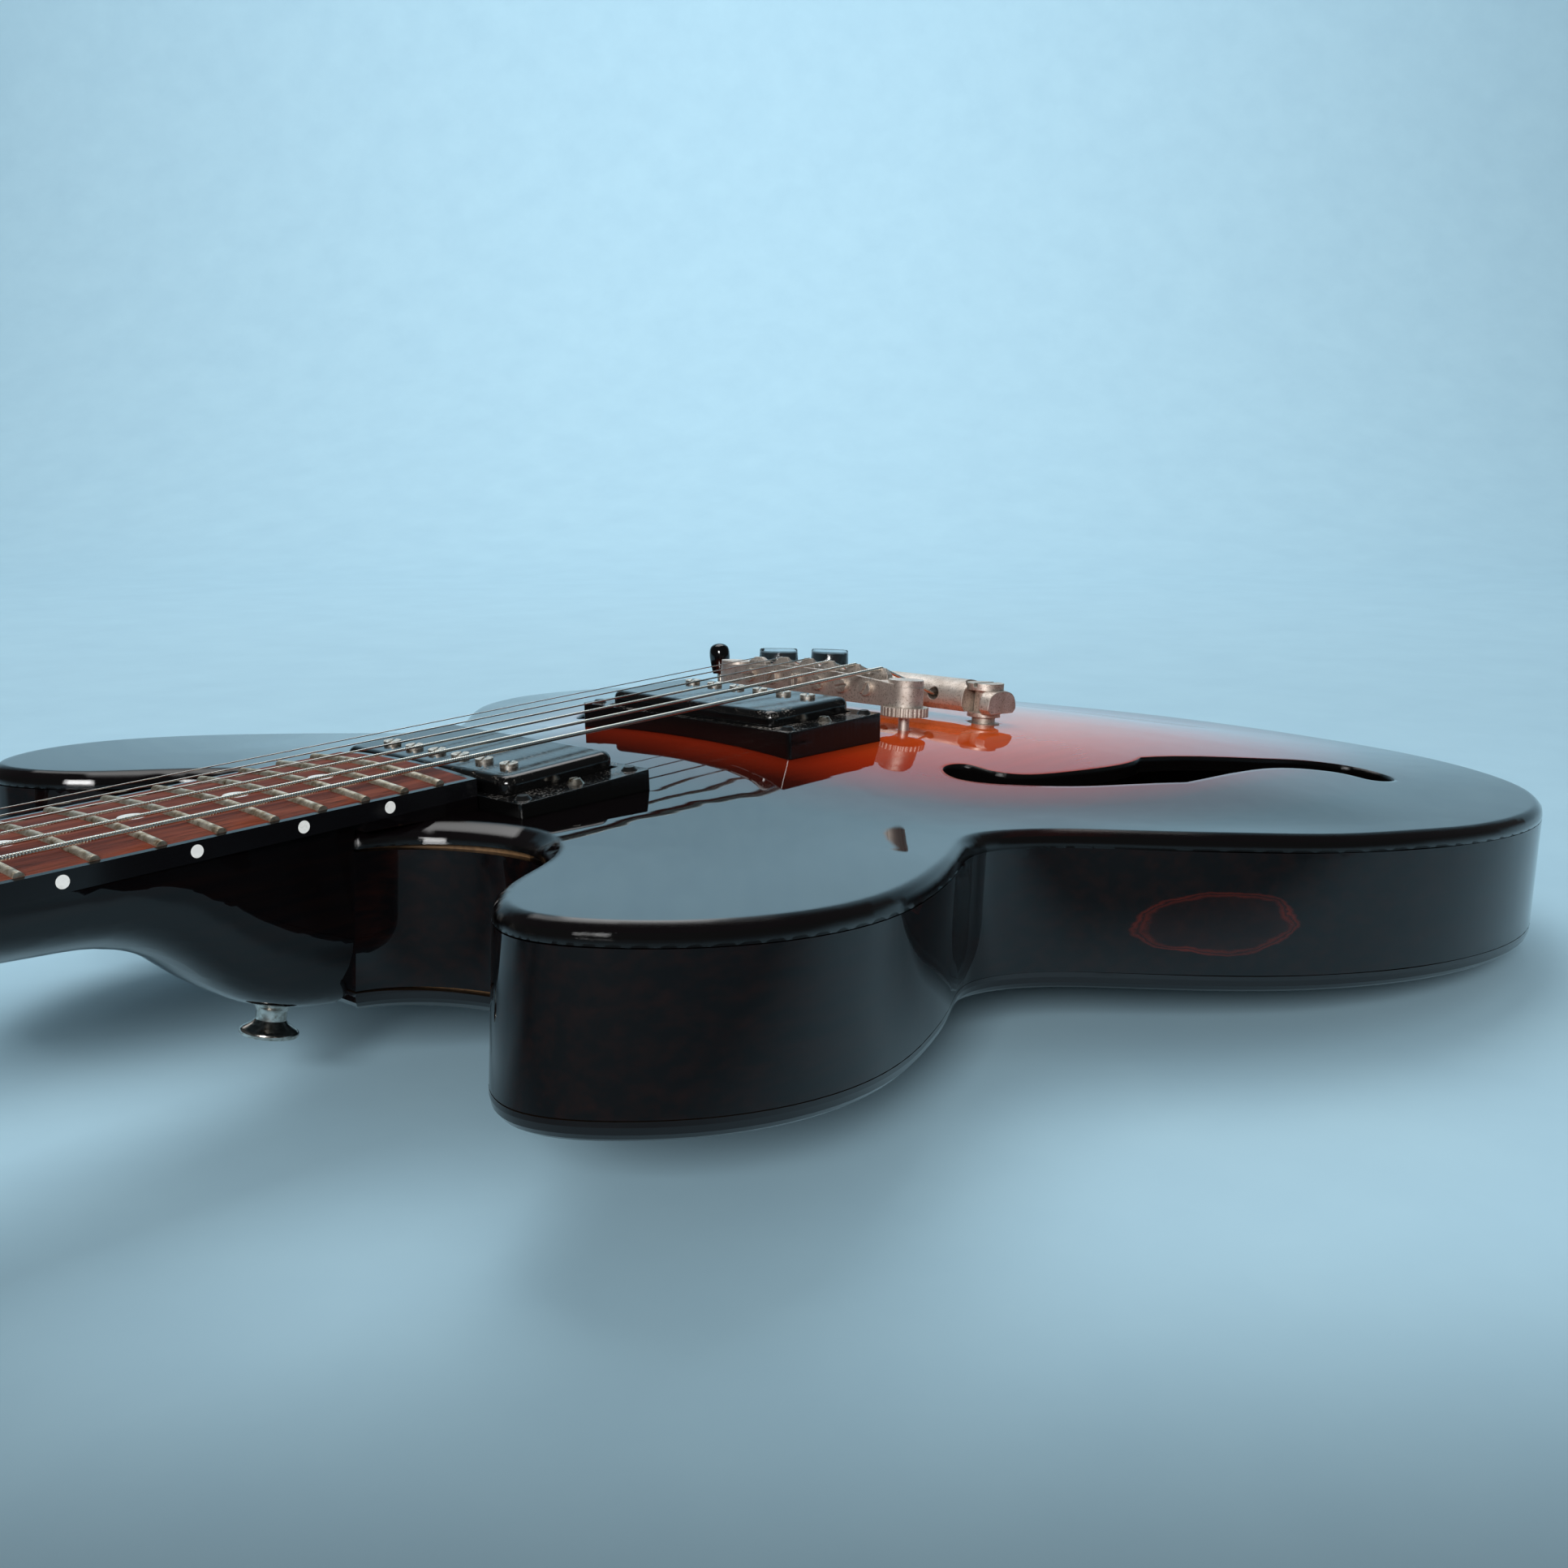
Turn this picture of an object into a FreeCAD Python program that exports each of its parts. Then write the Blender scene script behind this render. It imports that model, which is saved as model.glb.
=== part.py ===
import FreeCAD, Part
import math
import os
import Sketcher
from types import SimpleNamespace
from FreeCAD import Placement, Rotation, Vector

os.makedirs("parts", exist_ok=True)
doc = FreeCAD.newDocument("semi_hollow_guitar")

# Driving sizes in millimetres and degrees
SIZES = {
    "scale_length": 628.65,
    "fret_count": 22,
    "nut_width": 43.0,
    "board_end_width": 57.8,
    "board_radius": 304.8,
    "board_thickness": 6.0,
    "board_overhang": 10.0,
    "board_binding": 1.5,
    "board_height_at_bridge": 28.4,
    "neck_pitch": 5.69,
    "fret_width": 2.5,
    "fret_height": 1.1,
    "fret_tang_width": 0.6,
    "fret_tang_depth": 1.6,
    "dot_diameter": 6.35,
    "dot_depth": 1.2,
    "side_dot_diameter": 3.0,
    "side_dot_depth": 0.8,
    "double_dot_spacing": 20.0,
    "nut_thickness": 5.0,
    "nut_rise": 1.8,
    "nut_string_spread": 36.0,
    "body_length": 482.4,
    "tail_from_bridge": 259.9,
    "upper_bout_width": 300.0,
    "waist_width": 240.0,
    "lower_bout_width": 412.0,
    "rim_depth": 44.5,
    "plate_thickness": 4.8,
    "edge_radius": 3.6,
    "edge_roll_angle": 55.0,
    "rim_thickness": 3.0,
    "lining_width": 6.0,
    "lining_depth": 13.0,
    "top_arch": 14.4,
    "back_arch": 9.0,
    "arch_crest": 40.0,
    "block_width": 110.0,
    "joint_width": 51.0,
    "tenon_width": 38.0,
    "tenon_length": 24.0,
    "tenon_depth": 30.0,
    "neck_depth_nut": 21.0,
    "neck_depth_twelfth": 23.5,
    "heel_depth": 54.6,
    "heel_length": 84.0,
    "heel_button_share": 0.86,
    "headstock_length": 168.0,
    "headstock_angle": 17.0,
    "headstock_thickness": 14.5,
    "headstock_step": 3.0,
    "headstock_start_width": 62.0,
    "headstock_end_width": 78.0,
    "headstock_tip_width": 58.0,
    "headstock_corner": 9.0,
    "rod_diameter": 5.0,
    "rod_depth": 12.0,
    "rod_nut_diameter": 7.0,
    "rod_nut_length": 8.0,
    "rod_clearance": 0.3,
    "rod_pocket_length": 24.0,
    "rod_cover_length": 44.0,
    "rod_cover_width": 24.0,
    "rod_cover_tip_width": 12.0,
    "rod_cover_thickness": 1.6,
    "small_screw_head": 4.6,
    "small_screw_shank": 2.2,
    "small_screw_length": 9.0,
    "small_screw_head_height": 1.4,
    "ring_screw_head_height": 1.0,
    "head_taper_share": 0.4,
    "screw_slot_width": 0.8,
    "first_tuner": 40.0,
    "tuner_spacing": 39.5,
    "tuner_inset_start": 13.0,
    "tuner_inset_end": 15.0,
    "tuner_post_diameter": 6.0,
    "tuner_post_height": 17.0,
    "tuner_bushing_diameter": 9.0,
    "tuner_bushing_flange": 11.0,
    "tuner_bushing_flange_height": 1.6,
    "tuner_gear_diameter": 11.6,
    "tuner_gear_height": 2.6,
    "tuner_gear_teeth": 14,
    "worm_diameter": 3.6,
    "worm_length": 8.0,
    "key_shaft_diameter": 3.0,
    "key_shaft_length": 17.0,
    "key_width": 18.0,
    "key_height": 14.0,
    "key_thickness": 6.0,
    "housing_width": 14.0,
    "housing_height": 7.4,
    "housing_wall": 0.8,
    "running_clearance": 0.05,
    "free_clearance": 0.35,
    "seat_gap": 0.15,
    "rim_gap": 0.25,
    "route_gap": 2.0,
    "winding_gap": 0.45,
    "winding_height": 9.0,
    "winding_turns": 3,
    "ring_length": 89.0,
    "ring_width": 45.0,
    "ring_edge_radius": 1.2,
    "neck_ring_centre": -141.6,
    "neck_ring_height": 8.6,
    "neck_ring_slope": 6.8,
    "bridge_ring_centre": -40.2,
    "bridge_ring_height": 19.1,
    "bridge_ring_slope": 4.6,
    "cover_length": 69.8,
    "cover_width": 38.0,
    "cover_height": 15.0,
    "cover_wall": 0.7,
    "cover_edge_radius": 2.4,
    "cover_corner_radius": 3.4,
    "cover_proud": 4.6,
    "pole_spacing": 10.0,
    "pole_offset": 9.5,
    "pole_head_diameter": 4.8,
    "pole_shank_diameter": 3.2,
    "pole_head_height": 1.0,
    "pole_slot_angle": 35.0,
    "magnet_width": 12.0,
    "coil_length": 65.0,
    "coil_width": 17.0,
    "coil_height": 10.0,
    "base_plate": 1.0,
    "ring_screw_inset": 4.0,
    "height_screw_spacing": 79.0,
    "height_screw_head": 4.8,
    "height_screw_shank": 2.4,
    "height_screw_length": 16.0,
    "post_spacing": 74.0,
    "post_position": 4.5,
    "post_diameter": 3.6,
    "post_depth": 22.0,
    "wheel_diameter": 15.6,
    "wheel_thickness": 3.0,
    "wheel_height": 18.0,
    "wheel_knurls": 30,
    "knurl_radius": 0.5,
    "knurl_offset": 0.2,
    "bridge_length": 86.0,
    "bridge_body_width": 11.6,
    "bridge_body_height": 9.6,
    "bridge_wall": 1.6,
    "bridge_floor": 2.2,
    "bridge_travel_down": 2.5,
    "string_spread": 51.0,
    "saddle_width": 7.4,
    "saddle_thickness": 2.8,
    "saddle_height": 9.0,
    "adjust_screw_diameter": 2.0,
    "adjust_screw_head": 4.6,
    "adjust_screw_head_height": 1.6,
    "adjust_slot_angle": 30.0,
    "adjust_slot_turn": 47.0,
    "string_height_at_bridge": 33.0,
    "string_height_at_nut": 1.6,
    "tail_position": 45.0,
    "stud_spacing": 82.5,
    "stud_head_diameter": 12.7,
    "stud_head_height": 2.4,
    "stud_neck_diameter": 7.0,
    "stud_collar_diameter": 11.4,
    "stud_collar_height": 1.6,
    "stud_thread_diameter": 8.0,
    "stud_thread_length": 16.0,
    "stud_slot_width": 1.6,
    "bushing_diameter": 11.1,
    "bushing_length": 19.0,
    "tail_bar_length": 97.0,
    "tail_bar_width": 17.0,
    "tail_bar_height": 10.5,
    "tail_lug_height": 7.6,
    "tail_height": 17.6,
    "string_hole_diameter": 4.4,
    "string_gauge_low": 1.17,
    "string_gauge_high": 0.30,
    "button_base_diameter": 11.0,
    "button_waist_diameter": 7.6,
    "button_rim_diameter": 14.5,
    "button_height": 9.5,
    "button_screw_diameter": 3.4,
    "button_screw_length": 24.0,
    "toggle_position": 53.0,
    "toggle_side": 89.0,
    "toggle_lever_diameter": 2.6,
    "toggle_tip_diameter": 8.0,
    "toggle_tip_length": 12.0,
    "toggle_height": 20.5,
    "toggle_throw": 12.0,
    "lever_pin_diameter": 2.0,
    "lever_pin_length": 3.4,
    "toggle_bushing_diameter": 12.0,
    "toggle_nut_diameter": 15.5,
    "toggle_nut_height": 2.4,
    "toggle_frame_length": 34.0,
    "toggle_frame_width": 16.0,
    "toggle_frame_depth": 24.0,
    "volume_position": 150.0,
    "volume_side": 142.0,
    "tone_position": 186.0,
    "tone_side": 141.0,
    "knob_diameter": 19.0,
    "knob_top_diameter": 17.6,
    "knob_height": 14.0,
    "knob_gap": 2.4,
    "knob_wall": 2.4,
    "knob_boss_diameter": 9.4,
    "pot_shaft_diameter": 6.0,
    "pot_bushing_diameter": 9.4,
    "pot_nut_diameter": 13.5,
    "pot_nut_height": 2.0,
    "pot_can_diameter": 24.0,
    "pot_can_height": 9.0,
    "jack_position": 212.0,
    "jack_side": 106.0,
    "jack_bore_diameter": 6.35,
    "jack_bushing_diameter": 9.4,
    "jack_nut_diameter": 13.5,
    "jack_nut_height": 2.4,
    "jack_plate_diameter": 22.0,
    "jack_plate_thickness": 1.6,
    "jack_depth": 24.0,
    "jack_floor": 3.0,
    "f_hole_position": -21.0,
    "f_hole_side": 81.0,
    "f_hole_length": 155.0,
    "cavity_floor": 22.0,
    "cut_margin": 2.0,
}

sheet = doc.addObject("Spreadsheet::Sheet", "Sizes")
for row, (alias, number) in enumerate(SIZES.items(), start=1):
    sheet.set(f"A{row}", alias)
    sheet.set(f"B{row}", str(number))
    sheet.setAlias(f"B{row}", alias)
doc.recompute()


class Size:
    """A number together with the sheet expression that gives it."""

    def __init__(self, value, text):
        self.value = float(value)
        self.text = text

    def joined(self, other, sign, value):
        right = other.text if isinstance(other, Size) else repr(float(other))
        return Size(value, f"({self.text} {sign} {right})")

    def __float__(self):
        return self.value

    def __add__(self, other):
        return self.joined(other, "+", self.value + float(other))

    def __sub__(self, other):
        return self.joined(other, "-", self.value - float(other))

    def __mul__(self, other):
        return self.joined(other, "*", self.value * float(other))

    def __truediv__(self, other):
        return self.joined(other, "/", self.value / float(other))

    def __neg__(self):
        return Size(-self.value, f"(0 - {self.text})")

    __radd__ = __add__
    __rmul__ = __mul__


size = SimpleNamespace(**{
    alias: Size(sheet.get(alias), f"{sheet.Name}.{alias}") for alias in SIZES
})
num = SimpleNamespace(**{alias: float(sheet.get(alias)) for alias in SIZES})

UP = Vector(0, 0, 1)
ALONG = Vector(1, 0, 0)
ACROSS = Vector(0, 1, 0)
subparts = []


def finish(obj, label, placement=Placement()):
    obj.Label = label
    obj.Placement = placement
    subparts.append(obj)
    return obj


def shaped(label, shape, placement=Placement()):
    feature = doc.addObject("Part::Feature", label)
    feature.Shape = shape
    return finish(feature, label, placement)


def origin_plane(body, role):
    return next(plane for plane in body.Origin.OriginFeatures if plane.Role == role)


def bind(obj, path, amount):
    if isinstance(amount, Size):
        obj.setExpression(path, amount.text)
    else:
        setattr(obj, path, amount)


def outline_sketch(body, name, points, role="XY_Plane"):
    """Closed polygon whose corners are tied to the sheet."""
    sketch = body.newObject("Sketcher::SketchObject", name)
    sketch.AttachmentSupport = (origin_plane(body, role), [""])
    sketch.MapMode = "FlatFace"
    corners = [Vector(float(u), float(v), 0) for u, v in points]
    for start, end in zip(corners, corners[1:] + corners[:1]):
        sketch.addGeometry(Part.LineSegment(start, end), False)
    count = len(points)
    for index in range(count):
        sketch.addConstraint(Sketcher.Constraint("Coincident", index, 2, (index + 1) % count, 1))
    for index, pair in enumerate(points):
        for kind, amount in zip(("DistanceX", "DistanceY"), pair):
            rule = sketch.addConstraint(Sketcher.Constraint(kind, -1, 1, index, 1, float(amount)))
            if isinstance(amount, Size):
                sketch.setExpression(f"Constraints[{rule}]", amount.text)
    return sketch


def turned(name, points):
    """Body of revolution about its own Z axis from a profile of radius and height."""
    body = doc.addObject("PartDesign::Body", name)
    sketch = outline_sketch(body, name + "_profile", points, "XZ_Plane")
    turn = body.newObject("PartDesign::Revolution", name + "_turn")
    turn.Profile = sketch
    turn.ReferenceAxis = (sketch, ["V_Axis"])
    turn.Angle = 360
    doc.recompute()
    return body


def padded(name, points, length, role="XY_Plane"):
    """Body padded from a polygon by a bound length."""
    body = doc.addObject("PartDesign::Body", name)
    sketch = outline_sketch(body, name + "_outline", points, role)
    pad = body.newObject("PartDesign::Pad", name + "_pad")
    pad.Profile = sketch
    bind(pad, "Length", length)
    doc.recompute()
    return body


def pocketed(body, points, depth, role="XY_Plane", reverse=True):
    """Pocket from a polygon on an origin plane, checked to remove material."""
    before = body.Shape.Volume
    name = body.Name + "_pocket" + str(len(body.Group))
    sketch = outline_sketch(body, name + "_outline", points, role)
    pocket = body.newObject("PartDesign::Pocket", name)
    pocket.Profile = sketch
    bind(pocket, "Length", depth)
    pocket.Reversed = reverse
    doc.recompute()
    if body.Shape.Volume >= before:
        raise ValueError(name + " removes nothing")
    return body


def rounded(body, radius, chosen):
    """Fillet on the edges of the tip that a test accepts."""
    base = body.Tip
    names = [f"Edge{i}" for i, edge in enumerate(base.Shape.Edges, start=1) if chosen(edge)]
    fillet = body.newObject("PartDesign::Fillet", body.Name + "_round" + str(len(body.Group)))
    fillet.Base = (base, names)
    bind(fillet, "Radius", radius)
    doc.recompute()
    return body


def rectangle(length, width):
    half, side = length / 2, width / 2
    return [(-half, -side), (half, -side), (half, side), (-half, side)]


def vertical(edge):
    box = edge.BoundBox
    return box.ZLength > max(box.XLength, box.YLength) * 2


def at(x, y, z, rotation=Rotation()):
    return Placement(Vector(x, y, z), rotation)


def box_between(low, high):
    low, high = Vector(*low), Vector(*high)
    span = high - low
    return Part.makeBox(span.x, span.y, span.z, low)


def rod(start, end, radius):
    start, end = Vector(*start), Vector(*end)
    return Part.makeCylinder(radius, (end - start).Length, start, end - start)


def moved(shape, placement):
    copy = shape.copy()
    copy.Placement = placement.multiply(copy.Placement)
    return copy


# Body outline, one half, as shares of the length and of the bout widths
body_nose = num.tail_from_bridge - num.body_length
joint_share = 0.0498
waist_share = 0.3255
upper_half_shares = [
    (0.080, 0.227), (0.1055, 0.333), (0.0920, 0.460), (0.0467, 0.567), (0.0114, 0.653), (0.0000, 0.747),
    (0.0218, 0.873), (0.0674, 0.967), (0.1296, 1.000), (0.2021, 0.947), (0.2747, 0.843),
]
waist_half_shares = [(waist_share, 1.000), (0.3535, 1.050)]
lower_half_shares = [
    (0.3846, 0.675), (0.4509, 0.828), (0.5442, 0.951), (0.6644, 1.000), (0.7867, 0.932), (0.8966, 0.704),
    (0.9650, 0.403),
]


def half_outline():
    """Corner at the neck joint, then the cutaway, horn, waist and lower bout to the tail."""
    points = [(body_nose + num.body_length * joint_share, num.joint_width / 2)]
    groups = (
        (upper_half_shares, num.upper_bout_width),
        (waist_half_shares, num.waist_width),
        (lower_half_shares, num.lower_bout_width),
    )
    for shares, width in groups:
        points += [(body_nose + along * num.body_length, across * width / 2) for along, across in shares]
    return points


def full_outline():
    half = half_outline()
    return half + [(num.tail_from_bridge, 0)] + [(x, -y) for x, y in reversed(half)]


side_curve = Part.BSplineCurve()
side_curve.interpolate([Vector(x, y, 0) for x, y in full_outline()])
outline_steps = 64


def body_wire(inset, z):
    """Body outline moved inwards by an inset, closed across the neck joint."""
    first, last = side_curve.FirstParameter, side_curve.LastParameter
    points = []
    for step in range(outline_steps + 1):
        at_parameter = first + (last - first) * step / outline_steps
        tangent = side_curve.tangent(at_parameter)[0]
        inwards = Vector(tangent.y, -tangent.x, 0)
        points.append(side_curve.value(at_parameter) + inwards * inset)
    for end in (0, -1):
        points[end] = Vector(joint_x + inset, points[end].y, 0)
    curve = Part.BSplineCurve()
    curve.interpolate([Vector(p.x, p.y, z) for p in points])
    across = Part.LineSegment(curve.EndPoint, curve.StartPoint)
    return Part.Wire([curve.toShape(), across.toShape()])


joint_x = half_outline()[0][0]


def body_prism(inset, low, high):
    return Part.Face(body_wire(inset, low)).extrude(Vector(0, 0, high - low))


def rolled_prism(show_z, far_z, open_z):
    """Body prism whose edge rolls over towards a show face, then leans inwards past it."""
    side = math.copysign(1, show_z - far_z)
    radius = num.edge_radius
    wires = [body_wire(0, far_z)]
    for step in range(roll_steps + 1):
        angle = roll_angle * step / roll_steps
        wires.append(body_wire(radius * (1 - math.cos(angle)), show_z - side * radius * (1 - math.sin(angle))))
    last_inset = radius * (1 - math.cos(roll_angle)) + radius * math.tan(roll_angle)
    last_z = show_z + side * radius * math.sin(roll_angle)
    wires += [body_wire(last_inset, last_z), body_wire(last_inset, open_z)]
    return Part.makeLoft(wires, True, True)


roll_steps = 2
roll_angle = math.radians(num.edge_roll_angle)


bell_squareness = 1.25


def eased(share):
    """Bell that falls from one at zero to zero at one."""
    return 0.5 * (1 + math.cos(math.pi * min(1.0, abs(share)) ** bell_squareness))


def blend(x, start, end, low, high):
    share = min(1.0, max(0.0, (x - start) / (end - start)))
    return low + (high - low) * 0.5 * (1 - math.cos(math.pi * share))


# Places along the body where the arch takes its full bout and waist widths
arch_upper_share = 0.13
arch_lower_share = 0.6
upper_bout_x = body_nose + arch_upper_share * num.body_length
waist_x = body_nose + waist_share * num.body_length
lower_bout_x = body_nose + arch_lower_share * num.body_length


def arch_half_width(x):
    if x < waist_x:
        return blend(x, upper_bout_x, waist_x, num.upper_bout_width / 2, num.waist_width / 2)
    return blend(x, waist_x, lower_bout_x, num.waist_width / 2, num.lower_bout_width / 2)


def arch(height, x, y):
    """Rise of a carved plate over the rim plane."""
    reach_tail = num.tail_from_bridge - num.arch_crest
    reach_neck = num.arch_crest - body_nose
    along = (x - num.arch_crest) / (reach_tail if x > num.arch_crest else reach_neck)
    return height * eased(along) * eased(y / arch_half_width(x))


def top_z(x, y):
    return arch(num.top_arch, x, y)


def back_z(x, y):
    return -num.rim_depth - arch(num.back_arch, x, y)


arch_rows = 17
arch_columns = 13


def arch_face(height_at, shift):
    """Smooth face through a grid of heights, wider than the body all round."""
    margin = num.rim_depth / 2
    half_width = num.lower_bout_width / 2 + margin
    rows = []
    for i in range(arch_rows):
        x = body_nose - margin + (num.body_length + 2 * margin) * i / (arch_rows - 1)
        row = []
        for j in range(arch_columns):
            y = -half_width + 2 * half_width * j / (arch_columns - 1)
            row.append(Vector(x, y, height_at(x, y) + shift))
        rows.append(row)
    surface = Part.BSplineSurface()
    surface.interpolate(rows)
    return surface.toShape()


def below_top(shift, depth):
    """Solid under the top's surface, lowered by a shift."""
    return arch_face(top_z, shift).extrude(Vector(0, 0, -depth))


def above_back(shift, depth):
    return arch_face(back_z, shift).extrude(Vector(0, 0, depth))


# Neck, fretboard and string frames
neck_frame = Placement(
    Vector(0, 0, num.board_height_at_bridge), Rotation(ACROSS, -num.neck_pitch)
).multiply(at(-num.scale_length, 0, 0))
head_frame = neck_frame.multiply(
    at(-num.nut_thickness, 0, -num.headstock_step - num.board_thickness / 2, Rotation(ACROSS, -num.headstock_angle))
)
board_length = num.scale_length * (1 - 2 ** (-num.fret_count / 12)) + num.board_overhang


def fret_at(number):
    return num.scale_length * (1 - 2 ** (-number / 12))


def board_width(x):
    """Fretboard width at a distance from the nut."""
    last = fret_at(num.fret_count)
    return num.nut_width + (num.board_end_width - num.nut_width) * x / last


def crown_drop(half):
    """Fall of the crowned board from its centre to a half width."""
    return num.board_radius - math.sqrt(num.board_radius ** 2 - half ** 2)


def board_plan(inset, end, low, high):
    """Tapered plan of the board, a little inside its edge, as a prism."""
    start_half, end_half = board_width(0) / 2 - inset, board_width(end) / 2 - inset
    points = [
        Vector(0, -start_half, low), Vector(end, -end_half, low), Vector(end, end_half, low),
        Vector(0, start_half, low),
    ]
    return Part.Face(Part.makePolygon(points + points[:1])).extrude(Vector(0, 0, high - low))


def board_crown():
    """Cylinder along the board whose top is the playing surface."""
    foot = Vector(-num.scale_length, 0, -num.board_radius)
    return Part.makeCylinder(num.board_radius, 2 * num.scale_length, foot, ALONG)


def fret_profile(x):
    """Crown bead over a narrow tang."""
    half, tang = num.fret_width / 2, num.fret_tang_width / 2
    low = -num.fret_tang_depth
    left, right = Vector(x - half, 0, 0), Vector(x + half, 0, 0)
    low_left, low_right = Vector(x - tang, 0, low), Vector(x + tang, 0, low)
    crown = Part.Arc(left, Vector(x, 0, num.fret_height), right).toShape()
    path = [right, Vector(x + tang, 0, 0), low_right, low_left, Vector(x - tang, 0, 0), left]
    return Part.Face(Part.Wire([crown] + [Part.LineSegment(a, b).toShape() for a, b in zip(path, path[1:])]))


def slot_profile(x):
    """Tang of a fret, run out above the board."""
    tang, low, high = num.fret_tang_width / 2, -num.fret_tang_depth, num.cut_margin
    points = [
        Vector(x - tang, 0, low), Vector(x + tang, 0, low), Vector(x + tang, 0, high), Vector(x - tang, 0, high),
    ]
    return Part.Face(Part.makePolygon(points + points[:1]))


def bent_over_board(profile, x):
    """Profile swept across the board along its crown, between the bindings."""
    half = board_width(x - num.fret_width / 2) / 2 - num.board_binding - num.running_clearance
    reach = math.degrees(math.asin(half / num.board_radius))
    axis_point = Vector(x, 0, -num.board_radius)
    profile.rotate(axis_point, ALONG, -reach)
    return profile.revolve(axis_point, ALONG, 2 * reach)


DOT_FRETS = (3, 5, 7, 9, 12, 15, 17, 19, 21)


def dot_places():
    places = []
    for number in DOT_FRETS:
        x = (fret_at(number) + fret_at(number - 1)) / 2
        offsets = (-num.double_dot_spacing / 2, num.double_dot_spacing / 2) if number == 12 else (0,)
        places += [(x, y) for y in offsets]
    return places


def dot_blanks():
    drop = num.dot_depth + crown_drop(num.double_dot_spacing / 2)
    return [
        rod((x, y, -drop), (x, y, num.fret_height), num.dot_diameter / 2) for x, y in dot_places()
    ]


def side_dot_blanks():
    blanks = []
    for x, y in dot_places():
        edge = -board_width(x) / 2
        middle = -num.board_thickness / 2 - crown_drop(board_width(x) / 2) / 2
        shift = math.copysign(num.side_dot_diameter, y) if y else 0
        blanks.append(rod(
            (x + shift, edge - num.cut_margin, middle), (x + shift, edge + num.side_dot_depth, middle),
            num.side_dot_diameter / 2,
        ))
    return blanks


def fretboard_group():
    low, high = -num.board_thickness, num.cut_margin
    crown = board_crown()
    outer = board_plan(0, board_length, low, high)
    inner = board_plan(num.board_binding, board_length - num.board_binding, low, high)
    whole, wood_blank = outer.common(crown), inner.common(crown)
    dots = dot_blanks()
    side_dots = side_dot_blanks()
    places = [fret_at(n) for n in range(1, int(num.fret_count) + 1)]
    frets = [bent_over_board(fret_profile(x), x) for x in places]
    wood = wood_blank.cut(dots + [bent_over_board(slot_profile(x), x) for x in places])
    shaped("fretboard", wood, neck_frame)
    binding = outer.cut(inner).common(crown).cut(side_dots)
    shaped("fretboard_binding", binding, neck_frame)
    shaped("frets", Part.makeCompound(frets), neck_frame)
    inlays = [dot.common(wood_blank) for dot in dots] + [dot.common(whole) for dot in side_dots]
    shaped("inlay_dots", Part.makeCompound(inlays), neck_frame)


STRING_SHARES = (-0.5, -0.3, -0.1, 0.1, 0.3, 0.5)


def gauge(index):
    """String diameter, from the low string at zero to the high string at five."""
    ratio = num.string_gauge_high / num.string_gauge_low
    return num.string_gauge_low * ratio ** (index / 5)


# Place of each saddle in its travel, low string first
saddle_place_shares = (0.62, 0.24, -0.22, 0.34, -0.12, -0.55)


def saddle_reach():
    """Travel of a saddle each way from the middle of the bridge."""
    return (num.bridge_body_width - num.saddle_thickness) / 2 - num.bridge_wall - num.free_clearance


def saddle_x(index):
    """Speaking length grows a little towards the low strings."""
    return num.post_position + saddle_place_shares[index] * saddle_reach()


# F-hole outline from nick to nick, as shares of its length from the upper bulb's centre
upper_f_shares = [
    (0.342, 0.284), (0.219, 0.223), (0.110, 0.161), (0.026, 0.097), (-0.032, 0.042), (-0.052, -0.003),
    (-0.032, -0.042), (0.006, -0.053), (0.042, -0.032), (0.048, 0.003), (0.077, 0.055), (0.155, 0.097),
    (0.239, 0.123), (0.342, 0.141), (0.439, 0.129),
]
lower_f_shares = [
    (0.439, 0.129), (0.542, 0.155), (0.677, 0.197), (0.819, 0.245), (0.935, 0.290), (0.997, 0.361),
    (0.981, 0.439), (0.910, 0.487), (0.855, 0.458), (0.858, 0.406), (0.813, 0.348), (0.703, 0.306),
    (0.594, 0.297), (0.471, 0.294), (0.342, 0.284),
]


def f_hole_tool(side):
    """Prism through the top in the shape of one f-hole."""
    low = -num.plate_thickness - num.cut_margin
    edges = []
    for shares in (upper_f_shares, lower_f_shares):
        curve = Part.BSplineCurve()
        curve.interpolate([
            Vector(
                num.f_hole_position + along * num.f_hole_length,
                side * (num.f_hole_side + across * num.f_hole_length), low,
            ) for along, across in shares
        ])
        edges.append(curve.toShape())
    height = num.plate_thickness + num.top_arch + 2 * num.cut_margin
    return Part.Face(Part.Wire(edges)).extrude(Vector(0, 0, height))


def surface_frame(x, y):
    """Placement on the top's surface with Z along its normal."""
    step = num.cut_margin
    slope_x = (top_z(x + step, y) - top_z(x - step, y)) / (2 * step)
    slope_y = (top_z(x, y + step) - top_z(x, y - step)) / (2 * step)
    return Placement(Vector(x, y, top_z(x, y)), Rotation(UP, Vector(-slope_x, -slope_y, 1)))


volume_frame = surface_frame(num.volume_position, num.volume_side)
tone_frame = surface_frame(num.tone_position, num.tone_side)
toggle_frame = surface_frame(num.toggle_position, num.toggle_side)
jack_frame = surface_frame(num.jack_position, num.jack_side)


def through_hole(frame, diameter):
    reach = num.plate_thickness + 2 * num.cut_margin
    return moved(Part.makeCylinder(diameter / 2, 2 * reach, Vector(0, 0, -reach)), frame)


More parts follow.
